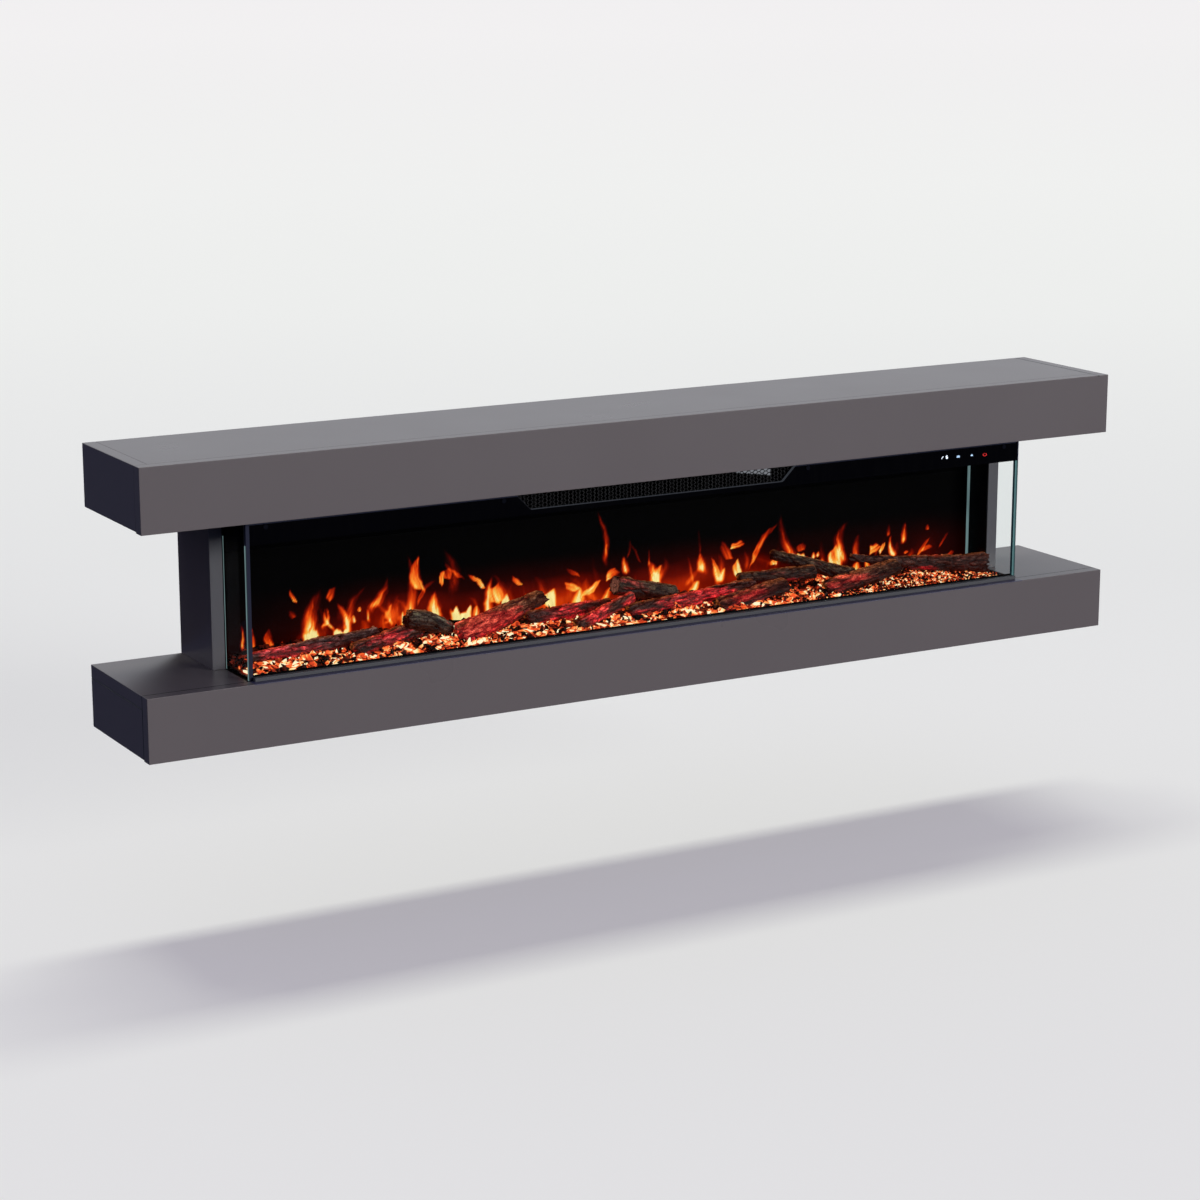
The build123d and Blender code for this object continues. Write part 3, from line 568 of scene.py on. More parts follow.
@dataclass(frozen=True)
class PaneGlass:
    """Clear float glass with a black printed band, dark borders and blue-green polished edges.

    Places are in metres. The print lies above band_low and below foot, the rim above rim_low, and the
    side borders beyond border_from either way. Rim and borders are a deep blue, a painted reflection of
    the shaded boards, and below the band the right border runs from a painted teal edge glow to dark.
    Polished edges take a painted glow and colour from lit_from to lit_to, and the notch's edges a painted
    glint. The seal is a stretch of the outside along Y that takes the same painted edge glow, and end is
    how far the panes reach along X.
    """

    name: str
    face: PaneFace
    band_low: float
    rim_low: float
    border_from: float
    lit_from: float
    lit_to: float
    seal: Span
    foot: float
    end: float
    print_colour: Colour = (0.0010, 0.0010, 0.0016)
    # Deep blue of the rim and side borders: a painted reflection of the shaded boards.
    border_reflection: Colour = (0.022, 0.024, 0.040)
    # Painted teal edge glow across the right border, from its inner side to dark at the pane's end.
    right_edge_glow: tuple[Colour, Colour] = ((0.13, 0.27, 0.265), (0.002, 0.008, 0.010))
    # Painted glint on the edges of the notch cut into the printed band.
    notch_light: Colour = (0.030, 0.033, 0.040)
    # Polished edges: blue-green where the painted glow falls, the glow itself, and dark where it fades.
    edge_colour: Colour = (0.05, 0.12, 0.12)
    edge_light: Colour = (0.145, 0.225, 0.230)
    dark_edge: Colour = (0.002, 0.004, 0.004)
    clear_tint: Colour = (0.985, 0.995, 0.992)
    gloss_tint: Colour = (0.95, 1.0, 0.99)
    clear_ior: float = 1.12
    print_ior: float = 1.12
    print_roughness: Span = (0.1, 0.18)
    clear_roughness: Span = (0.005, 0.02)
    streak: float = 0.004
    streak_stretch: Triple = (1.0, 1.0, 14.0)
    skin: float = 0.001
    flat_facing: float = 0.8
    upright_facing: float = 0.5
    corner_from: float = 0.6
    dim_edge: float = 0.12

    def build(self) -> Material:
        """Make the material: masks from place and facing choose print, border, edge, seal or glass.

        Returns:
            The material.
        """
        shader = Shader(self.name)
        place = shader.node("ShaderNodeSeparateXYZ", {0: shader.place}).outputs
        geometry = shader.node("ShaderNodeNewGeometry").outputs
        facing = shader.node("ShaderNodeSeparateXYZ", {0: geometry["True Normal"]}).outputs
        flat = shader.maths("ABSOLUTE", facing[self.face.value])
        edge = shader.maths("LESS_THAN", flat, self.flat_facing)
        upright = shader.maths("LESS_THAN", shader.maths("ABSOLUTE", facing["Z"]), self.upright_facing)
        band = shader.maths("GREATER_THAN", place["Z"], self.band_low)
        rim = shader.maths("GREATER_THAN", place["Z"], self.rim_low)
        side = shader.maths("GREATER_THAN", shader.maths("ABSOLUTE", place["X"]), self.border_from)
        border = shader.maths("MAXIMUM", rim, side)
        printed = shader.maths("MAXIMUM", band, border)
        printed = shader.maths("MAXIMUM", printed, shader.maths("LESS_THAN", place["Z"], self.foot))
        below = shader.maths("SUBTRACT", 1.0, band)
        sealed = shader.maths(
            "MULTIPLY", shader.maths("GREATER_THAN", place["Y"], self.seal[0]),
            shader.maths("LESS_THAN", place["Y"], self.seal[1]),
        )
        outside = shader.maths("GREATER_THAN", shader.maths("ABSOLUTE", place["X"]), self.end - self.skin)
        sealed = shader.maths("MULTIPLY", sealed, outside)
        # Bare upright edges and the seal stretch below the band show the edges' colour and painted glow.
        bare_edge = shader.maths("MULTIPLY", shader.maths("MAXIMUM", edge, sealed), below)

        streaks = shader.noise(self.streak, 3.0, self.streak_stretch)
        # Below the band the right border is painted with the teal edge glow, darkening towards the pane's
        # end.
        right = shader.maths("GREATER_THAN", place["X"], self.border_from)
        over = shader.spread(place["X"], self.border_from, self.end, 0.0, 1.0)
        cornered = shader.maths("GREATER_THAN", over, self.corner_from)
        corner = shader.mixed(cornered, self.print_colour, self.border_reflection)
        right_glow_tone = shader.mixed(band, shader.mixed(over, *self.right_edge_glow), corner)
        border_tone = shader.mixed(right, self.border_reflection, right_glow_tone)
        print_tone = shader.mixed(border, self.print_colour, border_tone)
        # The notch's cut edges in the band get a painted glint.
        notch = shader.maths("MULTIPLY", edge, shader.maths("SUBTRACT", band, side))
        # Painted glow of the polished edges, graded along Y from lit_from to lit_to and full on the seal
        # stretch; it also shifts their base colour from dark to blue-green.
        lit = shader.spread(place["Y"], self.lit_from, self.lit_to, self.dim_edge, 1.0)
        lit = shader.maths("MAXIMUM", shader.maths("MULTIPLY", lit, upright), sealed)
        lit = shader.maths("MULTIPLY", lit, shader.sheen(streaks, 0.6, 1.0))
        edge_glow = shader.mixed(lit, BLACK, self.edge_light)
        edge_tone = shader.mixed(lit, self.dark_edge, self.edge_colour)
        band_glow = shader.mixed(notch, BLACK, self.notch_light)
        solid = shader.principled({
            "Base Color": shader.mixed(bare_edge, print_tone, edge_tone),
            "Roughness": shader.sheen(streaks, *self.print_roughness),
            "IOR": self.print_ior,
            "Emission Color": shader.mixed(bare_edge, band_glow, edge_glow),
            "Emission Strength": 1.0,
        })
        clear = shader.node("ShaderNodeBsdfTransparent", {"Color": self.clear_tint})
        gloss = shader.node("ShaderNodeBsdfGlossy", {
            "Color": self.gloss_tint, "Roughness": shader.sheen(streaks, *self.clear_roughness),
        })
        fresnel = shader.node("ShaderNodeFresnel", {"IOR": self.clear_ior}).outputs[0]
        outer = shader.maths("MULTIPLY", fresnel, shader.maths("SUBTRACT", 1.0, geometry["Backfacing"]))
        pane = shader.node("ShaderNodeMixShader", {0: outer, 1: clear.outputs[0], 2: gloss.outputs[0]})
        cover = shader.maths("MAXIMUM", printed, bare_edge)
        return shader.done(
            shader.node("ShaderNodeMixShader", {0: cover, 1: pane.outputs[0], 2: solid.outputs[0]})
        )


@dataclass(frozen=True)
class EmberResin:
    """Translucent resin lit from below: black where cold, then red, orange and pale yellow."""

    name: str = "ember_resin_glow"
    strength: float = 1.0
    grain: float = 0.0065
    grain_depth: float = 0.0006
    cell: Triple = (0.022, 0.022, 0.010)
    border: Span = (0.02, 0.10)
    grain_heat: Span = (-0.02, 0.16)
    cell_heat: Span = (-0.12, 0.18)
    border_heat: Span = (-0.30, 0.02)
    roughness: Span = (0.35, 0.6)
    ior: float = 1.15
    light: Stops = (
        (0.0, BLACK), (0.2, (0.006, 0.0006, 0.0002)), (0.36, (0.055, 0.005, 0.002)),
        (0.5, (0.26, 0.020, 0.007)), (0.62, (0.78, 0.064, 0.015)), (0.72, (1.0, 0.125, 0.028)),
        (0.82, (1.05, 0.35, 0.085)), (0.91, (1.1, 0.78, 0.33)), (1.0, (1.1, 0.96, 0.62)),
    )
    skin: Stops = (
        (0.1, (0.005, 0.0024, 0.002)), (0.4, (0.016, 0.005, 0.003)), (0.8, (0.04, 0.010, 0.004)),
    )

    def build(self) -> Material:
        """Make the material from the mesh's heat paint, broken up by noise and by dark-edged cells.

        Returns:
            The material.
        """
        shader = Shader(self.name)
        fine = shader.noise(self.grain, 2.0)
        scale = tuple(1.0 / long for long in self.cell)
        mapped = shader.node("ShaderNodeMapping", {"Vector": shader.place, "Scale": scale})
        cells = {"Vector": mapped.outputs[0], "Scale": 1.0}
        border = shader.node("ShaderNodeTexVoronoi", cells, feature="DISTANCE_TO_EDGE").outputs["Distance"]
        tone = shader.node("ShaderNodeTexVoronoi", cells, feature="F1").outputs["Color"]
        heat = shader.paint("ember_heat").outputs["Fac"]
        heat = shader.maths("ADD", heat, shader.spread(fine, 0.25, 0.75, *self.grain_heat))
        heat = shader.maths("ADD", heat, shader.spread(tone, 0.25, 0.75, *self.cell_heat))
        heat = shader.maths("ADD", heat, shader.spread(border, *self.border, *self.border_heat))
        return shader.done(shader.principled({
            "Base Color": shader.ramp(heat, self.skin),
            "Roughness": shader.sheen(fine, *self.roughness),
            "IOR": self.ior,
            "Emission Color": shader.ramp(heat, self.light),
            "Emission Strength": self.strength,
            "Normal": shader.bump(fine, self.grain_depth),
        }))


@dataclass(frozen=True)
class LogResin:
    """Hand-painted moulded bark: the mesh's bark and glow paints, with fine grain on both.

    The bark paint carries painted shade, and the glow paint painted light from the flames and the embers.
    """

    name: str = "log_resin_bark"
    strength: float = 1.0
    grain: float = 0.0022
    grain_depth: float = 0.0014
    grain_tones: Stops = ((0.32, (0.25, 0.25, 0.25)), (0.7, (1.6, 1.6, 1.6)))
    roughness: Span = (0.38, 0.62)
    ior: float = 1.2

    def build(self) -> Material:
        """Make the material.

        Returns:
            The material.
        """
        shader = Shader(self.name)
        fine = shader.noise(self.grain, 5.0)
        shade = shader.ramp(fine, self.grain_tones)
        return shader.done(shader.principled({
            "Base Color": shader.mixed(1.0, shader.paint("bark").outputs["Color"], shade, "MULTIPLY"),
            "Roughness": shader.sheen(fine, *self.roughness),
            "IOR": self.ior,
            "Emission Color": shader.mixed(1.0, shader.paint("glow").outputs["Color"], shade, "MULTIPLY"),
            "Emission Strength": self.strength,
            "Normal": shader.bump(fine, self.grain_depth),
        }))


@dataclass(frozen=True)
class FlameLight:
    """Flames that the screen shows: the mesh's flame paint as light on black acrylic."""

    name: str = "flame_light"
    strength: float = 1.0
    flicker: float = 0.006
    stretch: Triple = (1.0, 1.0, 3.0)
    dim: Colour = (0.85, 0.8, 0.75)
    full: Colour = (1.05, 1.05, 1.05)
    acrylic: Colour = (0.0005, 0.0004, 0.0004)
    roughness: Span = (0.35, 0.5)
    ior: float = 1.05

    def build(self) -> Material:
        """Make the material.

        Returns:
            The material.
        """
        shader = Shader(self.name)
        flicker = shader.noise(self.flicker, 3.0, self.stretch)
        shade = shader.two_tone(flicker, self.dim, self.full)
        return shader.done(shader.principled({
            "Base Color": self.acrylic,
            "Roughness": shader.sheen(flicker, *self.roughness),
            "IOR": self.ior,
            "Emission Color": shader.mixed(
                1.0, shader.paint("flame_tone").outputs["Color"], shade, "MULTIPLY"
            ),
            "Emission Strength": self.strength,
        }))


@dataclass(frozen=True)
class MarkLight:
    """Lit touch mark: even light with a fine, slightly dimmer grain."""

    name: str
    colour: Colour
    strength: float = 1.0
    grain: float = 0.0009
    dim_share: float = 0.7
    diffuser: Colour = (0.01, 0.01, 0.012)
    roughness: Span = (0.2, 0.3)

    def build(self) -> Material:
        """Make the material.

        Returns:
            The material.
        """
        shader = Shader(self.name)
        grain = shader.noise(self.grain, 2.0)
        dim = tuple(self.dim_share * part for part in self.colour)
        return shader.done(shader.principled({
            "Base Color": self.diffuser,
            "Roughness": shader.sheen(grain, *self.roughness),
            "Emission Color": shader.two_tone(grain, dim, self.colour),
            "Emission Strength": self.strength,
        }))


POWDER_COAT = Coating(
    "black_powder_coat", (0.0022, 0.0022, 0.0026), (0.0045, 0.0045, 0.005), (0.5, 0.65), 1.15,
    0.0005, 0.00004,
)
BLACK_NYLON = Coating(
    "black_nylon", (0.010, 0.010, 0.011), (0.018, 0.018, 0.019), (0.4, 0.55), 1.4, 0.0006, 0.00003, 0.05
)
SCREW_STEEL = BareMetal("screw_steel", (0.10, 0.10, 0.11), (0.22, 0.22, 0.23), (0.3, 0.45), 0.0012)


@dataclass
class Beams:
    """Mantel, plinth and columns: lacquered boards on raw rails."""

    lacquer: Coating = Coating(
        "taupe_lacquer", (0.110, 0.096, 0.099), (0.113, 0.099, 0.102), (0.27, 0.30), 1.26, 0.0012, 0.00002
    )
    joint: float = 1.5
    joint_colour: Colour = (0.006, 0.006, 0.009)
    boards: tuple[str, ...] = (
        "mantel_fascia", "mantel_top_board", "mantel_end_left", "mantel_end_right",
        "mantel_underside_boards", "plinth_fascia", "plinth_top_left", "plinth_top_right",
        "plinth_end_left", "plinth_end_right", "plinth_bottom_board",
    )
    columns: tuple[str, ...] = ("column_side_left", "column_side_right")
    # Painted shade on the columns' front edges, set back under the mantel.
    column_front_shade: Colour = (0.084, 0.081, 0.090)
    # Deep blue of the plinth fascia's narrow top: painted shade and reflection under the mantel.
    ledge_shade: Colour = (0.044, 0.042, 0.084)
    forward_facing: float = -0.5

    def jointed_lacquer(self) -> Material:
        """Make the lacquer, darkened along the joints where two boards lie flush.

        The joints are planes: behind the plinth's fascia, under its top boards and beside the mantel's
        right end board. A point within the joint's width of one is dark, apart from the fascia's front. The
        plinth fascia's narrow top along the glass is a deep blue, painted shade and reflection from under
        the mantel.

        Returns:
            The material.
        """
        shader = Shader(self.lacquer.name)
        place = shader.node("ShaderNodeSeparateXYZ", {0: shader.place}).outputs
        behind = box_mm("plinth_end_left")[0][1] * MM
        under = box_mm("plinth_top_left")[0][2] * MM
        width = self.joint * MM

        def near(value: Socket, plane: float, times: float = 1.0) -> Socket:
            """1 on the plane, falling to 0 at that many widths of the joint."""
            gap = shader.maths("ABSOLUTE", shader.maths("SUBTRACT", value, plane))
            return shader.spread(gap, 0.5 * times * width, times * width, 1.0, 0.0)

        lines = shader.maths("MAXIMUM", near(place["Z"], under), near(place["Y"], behind))
        lines = shader.maths("MULTIPLY", lines, shader.maths("GREATER_THAN", place["Y"], behind - width))
        lines = shader.maths("MULTIPLY", lines, shader.maths("LESS_THAN", place["Z"], 0.0))
        mantel_end = box_mm("mantel_top_board")[1]
        over = shader.maths("GREATER_THAN", place["Z"], (mantel_end[2] - self.joint) * MM)
        beside = shader.maths("MULTIPLY", near(place["X"], mantel_end[0] * MM, 2.0), over)
        lines = shader.maths("MAXIMUM", lines, beside)
        # The ledge along the glass gets the deep blue painted shade and reflection.
        low, high = box_mm("glass_front")
        ledge = shader.maths("LESS_THAN", shader.maths("ABSOLUTE", place["X"]), high[0] * MM)
        ledge = shader.maths("MULTIPLY", ledge, near(place["Z"], low[2] * MM))
        ledge = shader.maths("MULTIPLY", ledge, shader.maths("LESS_THAN", place["Y"], behind))
        tone = shader.mixed(ledge, self.joint_colour, self.ledge_shade)
        return self.lacquer.finish(shader, shader.maths("MAXIMUM", lines, ledge), tone)

    def column_lacquer(self) -> Material:
        """Make the columns' lacquer, with painted shade on the narrow edges that face the front.

        Returns:
            The material.
        """
        shader = Shader("column_lacquer")
        normal = shader.node("ShaderNodeNewGeometry").outputs["True Normal"]
        facing = shader.node("ShaderNodeSeparateXYZ", {0: normal}).outputs
        # Narrow edges facing the front take the painted shade of their recess.
        forward = shader.maths("LESS_THAN", facing["Y"], self.forward_facing)
        return self.lacquer.finish(shader, forward, self.column_front_shade)

    def dress(self) -> None:
        """Finish the boards and the rails."""
        dress(self.boards, self.jointed_lacquer())
        dress(self.columns, self.column_lacquer())
        dress(("back_rails",), FibreBoard().build())


@dataclass
class Casing:
    """Folded sheet casing, its screws and the wall fixing."""

    sheets: tuple[str, ...] = (
        "case_floor", "case_back", "case_sides", "case_top_cover", "header_floor", "front_ledge",
        "side_ledges",
    )
    zinc: BareMetal = BareMetal(
        "zinc_plate", (0.36, 0.37, 0.38), (0.60, 0.61, 0.62), (0.32, 0.5), 0.01, spangle=0.012
    )

    def dress(self) -> None:
        """Finish the sheets, the fixing and the screws."""
        dress(self.sheets, POWDER_COAT.build())
        dress(("wall_bracket", "hanging_channel"), self.zinc.build())
        dress(("case_screws", "column_screws"), SCREW_STEEL.build())


@dataclass
class WarmAir:
    """Fan heater behind the mesh outlet, and the turning parts with their motors.

    The heater fins and the fan are aluminium darkened as painted shade. The fins' painted highlight
    reaches lit_end from their right end, above a line that drops by lit_slope.
    """

    grille: Coating = Coating(
        "grille_black", (0.012, 0.012, 0.014), (0.018, 0.018, 0.020), (0.4, 0.5), 1.2, 0.0006, 0.00003, 0.02
    )
    aluminium: BareMetal = BareMetal(
        "rolled_aluminium", (0.62, 0.62, 0.63), (0.80, 0.80, 0.81), (0.22, 0.4), 0.0015, (12.0, 1.0, 1.0)
    )
    # Aluminium darkened as painted shade, for the heater fins and the fan behind the outlet.
    shade_dark_metal: BareMetal = BareMetal(
        "shade_darkened_aluminium", (0.0015, 0.0015, 0.0017), (0.0035, 0.0035, 0.0038), (0.45, 0.6),
        0.0015, (12.0, 1.0, 1.0),
    )
    # Painted highlight on the fins' upper right end: its reach, slope, level, fade and colour.
    lit_end: float = 78.0
    lit_slope: float = 0.147
    lit_level: float = 141.5
    lit_full_share: float = 0.8
    lit_fade: float = 1.5
    lit_colour: Colour = (0.18, 0.19, 0.21)
    hole_long: float = 13.9
    row_step: float = 3.35
    strand: float = 1.1
    edge_bar: float = 1.2
    corners: tuple[float, ...] = (0.14, 0.36, 0.64, 0.86)
    can: BareMetal = BareMetal("motor_can", (0.30, 0.30, 0.31), (0.44, 0.44, 0.45), (0.3, 0.45), 0.004)

    def heater(self) -> Material:
        """Shade-darkened fins with a painted highlight over their upper right end, more of it further
        right.

        Returns:
            The material.
        """
        shader = Shader("heater_fins")
        place = shader.node("ShaderNodeSeparateXYZ", {0: shader.place}).outputs
        right = box_mm("heater_element")[1][0]
        tone = shader.noise(self.shade_dark_metal.grain, 4.0, self.shade_dark_metal.stretch)
        # Painted highlight, as emission, over the fins' upper right end.
        start, full = right - self.lit_end, right - self.lit_full_share * self.lit_end
        lit = shader.spread(place["X"], start * MM, full * MM, 0.0, 1.0)
        level = shader.maths("ADD", place["Z"], shader.maths("MULTIPLY", place["X"], self.lit_slope))
        foot = self.lit_level - self.lit_fade
        lit = shader.maths("MULTIPLY", lit, shader.spread(level, foot * MM, self.lit_level * MM, 0.0, 1.0))
        return shader.done(shader.principled({
            "Base Color": shader.two_tone(tone, self.shade_dark_metal.deep, self.shade_dark_metal.pale),
            "Metallic": 1.0,
            "Roughness": shader.sheen(tone, *self.shade_dark_metal.roughness),
            "Emission Color": shader.mixed(lit, BLACK, self.lit_colour),
            "Emission Strength": 1.0,
        }))

    def mesh(self) -> Shell:
        """Drawn mesh of the outlet.

        Level strands follow a wave with flat crests, every second strand turned over, so that the crests of
        neighbours meet and leave long staggered holes. Four plain bars frame them.

        Returns:
            All the strands and bars as one shell.
        """
        low, high = box_mm("outlet_grille")
        depth, tall = np.array((low[1], low[1], high[1], high[1])), np.array((-0.5, 0.5, 0.5, -0.5))

        def along(x: np.ndarray, z: np.ndarray, height: float) -> Shell:
            """Square-cornered bar along X through (x, z) points."""
            rings = np.broadcast_arrays(x[:, None], depth[None, :], z[:, None] + height * tall)
            return capped_rings(np.stack(rings, -1))

        bottom, top = low[2] + self.edge_bar, high[2] - self.edge_bar
        count = round((top - bottom) / self.row_step)
        step = (top - bottom) / count
        periods = int((high[0] - low[0]) / self.hole_long)
        x = low[0] + ((np.arange(periods)[:, None] + np.array(self.corners)) * self.hole_long).ravel()
        x = np.concatenate([[low[0]], x, [high[0]]])
        wave = 0.5 * step * np.concatenate([[0.0], np.tile((1.0, 1.0, -1.0, -1.0), periods), [0.0]])
        levels = bottom + step * (np.arange(count) + 0.5)
        strands = [along(x, level + (-1) ** row * wave, self.strand) for row, level in enumerate(levels)]
        ends, half = np.array((low[0], high[0])), 0.5 * self.edge_bar
        for level in (low[2] + half, high[2] - half):
            strands.append(along(ends, np.full(2, level), self.edge_bar))
        for start in (low[0], high[0] - self.edge_bar):
            middle = np.full(2, 0.5 * (low[2] + high[2]))
            strands.append(along(np.array((start, start + self.edge_bar)), middle, high[2] - low[2]))
        return joined(strands)

    def build(self) -> None:
        """Make the outlet's mesh in place of its CAD node."""
        grille = self.grille.build()
        make_piece("outlet_mesh", self.mesh(), grille, ("outlet_grille",), False)

    def dress(self) -> None:
        """Finish the heater, the fan, the flame spindle, both motors and the bearings."""
        dress(("flame_spindle",), self.aluminium.build())
        dress(("heater_element",), self.heater())
        # The fan takes the shade-darkened aluminium too: painted shade.
        dress(("fan_rotor",), self.shade_dark_metal.build())
        dress(("fan_motor", "flame_motor"), self.can.build())
        dress(("fan_cowl", "shaft_bearings"), BLACK_NYLON.build())


@dataclass
class PowerEntry:
    """Switch, gland and circuit boards."""

    def dress(self) -> None:
        """Finish the mouldings and the boards."""
        dress(("switch_housing", "switch_rocker", "cord_gland"), BLACK_NYLON.build())
        dress(("control_board", "light_bars"), CircuitLaminate().build())
        dress(("touch_display",), POWDER_COAT.build())


@dataclass
class GlassFront:
    """Three panes, their screws and foot rail, and the lit touch marks on the front pane."""

    border: float = 6.6
    rim: float = 7.0
    # How far into the front pane's thickness the edges' painted glow reaches.
    lit_share: float = 0.55
    foot: float = 1.8
    seal_from: float = 0.8
    seal_to: float = 6.5
    mark_depth: float = 0.05
    digit_height: float = 4.6
    digit_width: float = 3.6
    digit_stroke: float = 1.0
    digit_leans: tuple[float, ...] = (0.9, 0.05)
    digit_level: float = 108.8
    digit_places: tuple[float, ...] = (579.8, 591.1)
    mark_level: float = 107.6
    power_level: float = 105.8
    bars_x: float = 616.2
    drop_x: float = 645.9
    power_x: float = 674.6
    mark_size: float = 5.2
    segments: tuple[str, ...] = ("bc", "acdfg")
    bar_half: float = 0.66
    bar_taper: float = 0.06
    drop_half: Span = (0.52, 0.36)
    drop_steps: int = 20
    drop_widest: float = 1.3
    ring: Span = (0.58, 0.86)
    ring_turn: Span = (125.0, 415.0)
    ring_steps: int = 30
    ring_squash: float = 0.62
    upright: Span = (0.25, 0.62)
    beyond: float = 10.0
    screw_black: Coating = Coating(
        "screw_black", (0.003, 0.0035, 0.006), (0.005, 0.0055, 0.009), (0.8, 0.9), 1.05, 0.0006, 0.00002
    )
    rail_grey: Coating = Coating(
        "rail_grey", (0.058, 0.060, 0.066), (0.066, 0.068, 0.074), (0.4, 0.5), 1.2, 0.0006, 0.00003
    )

    def slab(self, outline: np.ndarray, front: float) -> Shell:
        """Thin prism: a closed outline of (x, z) points, carried back from the mark's face to the pane."""
        flat = np.stack([outline[:, 0], np.full(len(outline), front), outline[:, 1]], -1)
        return capped_rings(np.stack([flat, flat + (0.0, self.mark_depth, 0.0)]))

    def bar(self, start: Sequence[float], end: Sequence[float], front: float) -> Shell:
        """Stroke with pointed ends: a hexagon drawn out between two points.

        Args:
            start: One tip, (x, z).
            end: The other tip.
            front: Place of its face along Y.

        Returns:
            The stroke's shell.
        """
        start, end = np.asarray(start, float), np.asarray(end, float)
        run = (end - start) / np.linalg.norm(end - start)
        side = np.array((-run[1], run[0])) * self.digit_stroke / 2.0
        nose = run * self.digit_stroke / 2.0
        near, far = start + nose, end - nose
        return self.slab(np.stack([start, near + side, far + side, end, far - side, near - side]), front)

    def digits(self, front: float) -> Shell:
        """Two seven-stroke figures, each stroke a bar between corners of its leaning cell.

        Args:
            front: Place of their face along Y.

        Returns:
            Both as one shell.
        """
        half, tall = self.digit_width / 2.0, self.digit_height / 2.0
        ends = {
            "a": ((-half, tall), (half, tall)), "b": ((half, tall), (half, 0.0)),
            "c": ((half, 0.0), (half, -tall)), "d": ((-half, -tall), (half, -tall)),
            "e": ((-half, 0.0), (-half, -tall)), "f": ((-half, tall), (-half, 0.0)),
            "g": ((-half, 0.0), (half, 0.0)),
        }
        strokes = []
        for place, lean, letters in zip(self.digit_places, self.digit_leans, self.segments):
            for key in letters:
                corners = np.array(ends[key])
                corners[:, 0] += lean * corners[:, 1]
                strokes.append(self.bar(*(corners + (place, self.digit_level)), front))
        return joined(strokes)

    def bars_and_drop(self, front: float) -> Shell:
        """Three short level bars, and a drop whose half width is a sine times its distance from the tip.

        Args:
            front: Place of their face along Y.

        Returns:
            All as one shell.
        """
        size = self.mark_size
        bars = []
        for level in (-1.0, 0.0, 1.0):
            z = self.mark_level + level * size / 4.0
            reach = size * (self.bar_half - self.bar_taper * level)
            bars.append(self.bar((self.bars_x - reach, z), (self.bars_x + reach, z), front))
        turn = np.linspace(0.0, 2.0 * math.pi, self.drop_steps, endpoint=False)
        wide, tall = self.drop_half[0] * size, self.drop_half[1] * size
        wide = wide * np.sin(turn) * (1.0 - np.cos(turn)) / self.drop_widest
        drop = np.stack([self.drop_x + wide, self.mark_level + tall * np.cos(turn)], -1)
        return joined(bars + [self.slab(drop, front)])

    def power(self, front: float) -> Shell:
        """Broken oval ring, a square section carried round an arc, with an upright bar in its gap.

        Args:
            front: Place of its face along Y.

        Returns:
            Both as one shell.
        """
        turn = np.linspace(*np.radians(self.ring_turn), self.ring_steps)
        inner, outer = (share * self.mark_size for share in self.ring)
        radius = np.array((inner, outer, outer, inner))
        depth = np.array((0.0, 0.0, self.mark_depth, self.mark_depth))
        rings = np.stack(np.broadcast_arrays(
            self.power_x + np.cos(turn)[:, None] * radius,
            front + depth[None, :],
            self.power_level + self.ring_squash * np.sin(turn)[:, None] * radius,
        ), -1)
        ends = [(self.power_x, self.power_level + share * self.mark_size) for share in self.upright]
        return joined([capped_rings(rings), self.bar(*ends, front)])

    def build(self) -> None:
        """Make the lit marks on the front pane's face."""
        front = box_mm("glass_front")[0][1] - self.mark_depth
        cool = MarkLight("mark_white", (0.76, 0.86, 1.0), 3.0).build()
        blue = MarkLight("mark_blue", (0.42, 0.62, 0.88), 1.6).build()
        red = MarkLight("mark_red", (1.0, 0.006, 0.001), 0.9).build()
        make_piece("touch_digits", self.digits(front), cool, smooth=False)
        make_piece("touch_marks", self.bars_and_drop(front), blue, smooth=False)
        make_piece("touch_power_mark", self.power(front), red, smooth=False)

    def dress(self) -> None:
        """Finish the panes, the screws and the foot rail."""
        low, high = box_mm("glass_front")
        band = box_mm("header_floor")[0][2] * MM
        rim = (high[2] - self.rim) * MM
        border = (high[0] - self.border) * MM
        front, inside = low[1] * MM, high[1] * MM
        column = box_mm("column_side_left")[0][1]
        # The left pane's seal stretch beside the column takes the edges' painted glow.
        seal = ((column + self.seal_from) * MM, (column + self.seal_to) * MM)
        beyond = self.beyond
        nowhere = (beyond, beyond)
        foot = (box_mm("glass_base_rail")[1][2] + self.foot) * MM
        end = high[0] * MM
        # The front pane's edges carry a painted glow from its face to lit_share of its thickness.
        lit = front + self.lit_share * (inside - front)
        face = PaneGlass("front_pane", PaneFace.FRONT, band, rim, border, front, lit, nowhere, foot, end)
        dress(("glass_front",), face.build())
        ends = (band, beyond, beyond, -beyond, front - beyond * MM)
        dress(("glass_left",), PaneGlass("sealed_pane", PaneFace.SIDE, *ends, seal, -beyond, end).build())
        dress(("glass_right",), PaneGlass("side_pane", PaneFace.SIDE, *ends, nowhere, -beyond, end).build())
        dress(("glass_screws",), self.screw_black.build())
        dress(("glass_base_rail",), self.rail_grey.build())


class FlameKind(Enum):
    """Shapes that the flame picture holds."""

    TONGUE = "soft foot, drawn out to a point"
    SCRAP = "torn sheet with firm edges"
    BLAZE = "low broad body with a ragged top"


TONGUE, SCRAP, BLAZE = FlameKind.TONGUE, FlameKind.SCRAP, FlameKind.BLAZE
STREAK_SIZE = (2.4, 24.0)
RAGGED_SIZE = (6.0, 30.0)
TONGUE_FADE = (42.0, 88.0)
SCRAP_FADE = (60.0, 110.0)


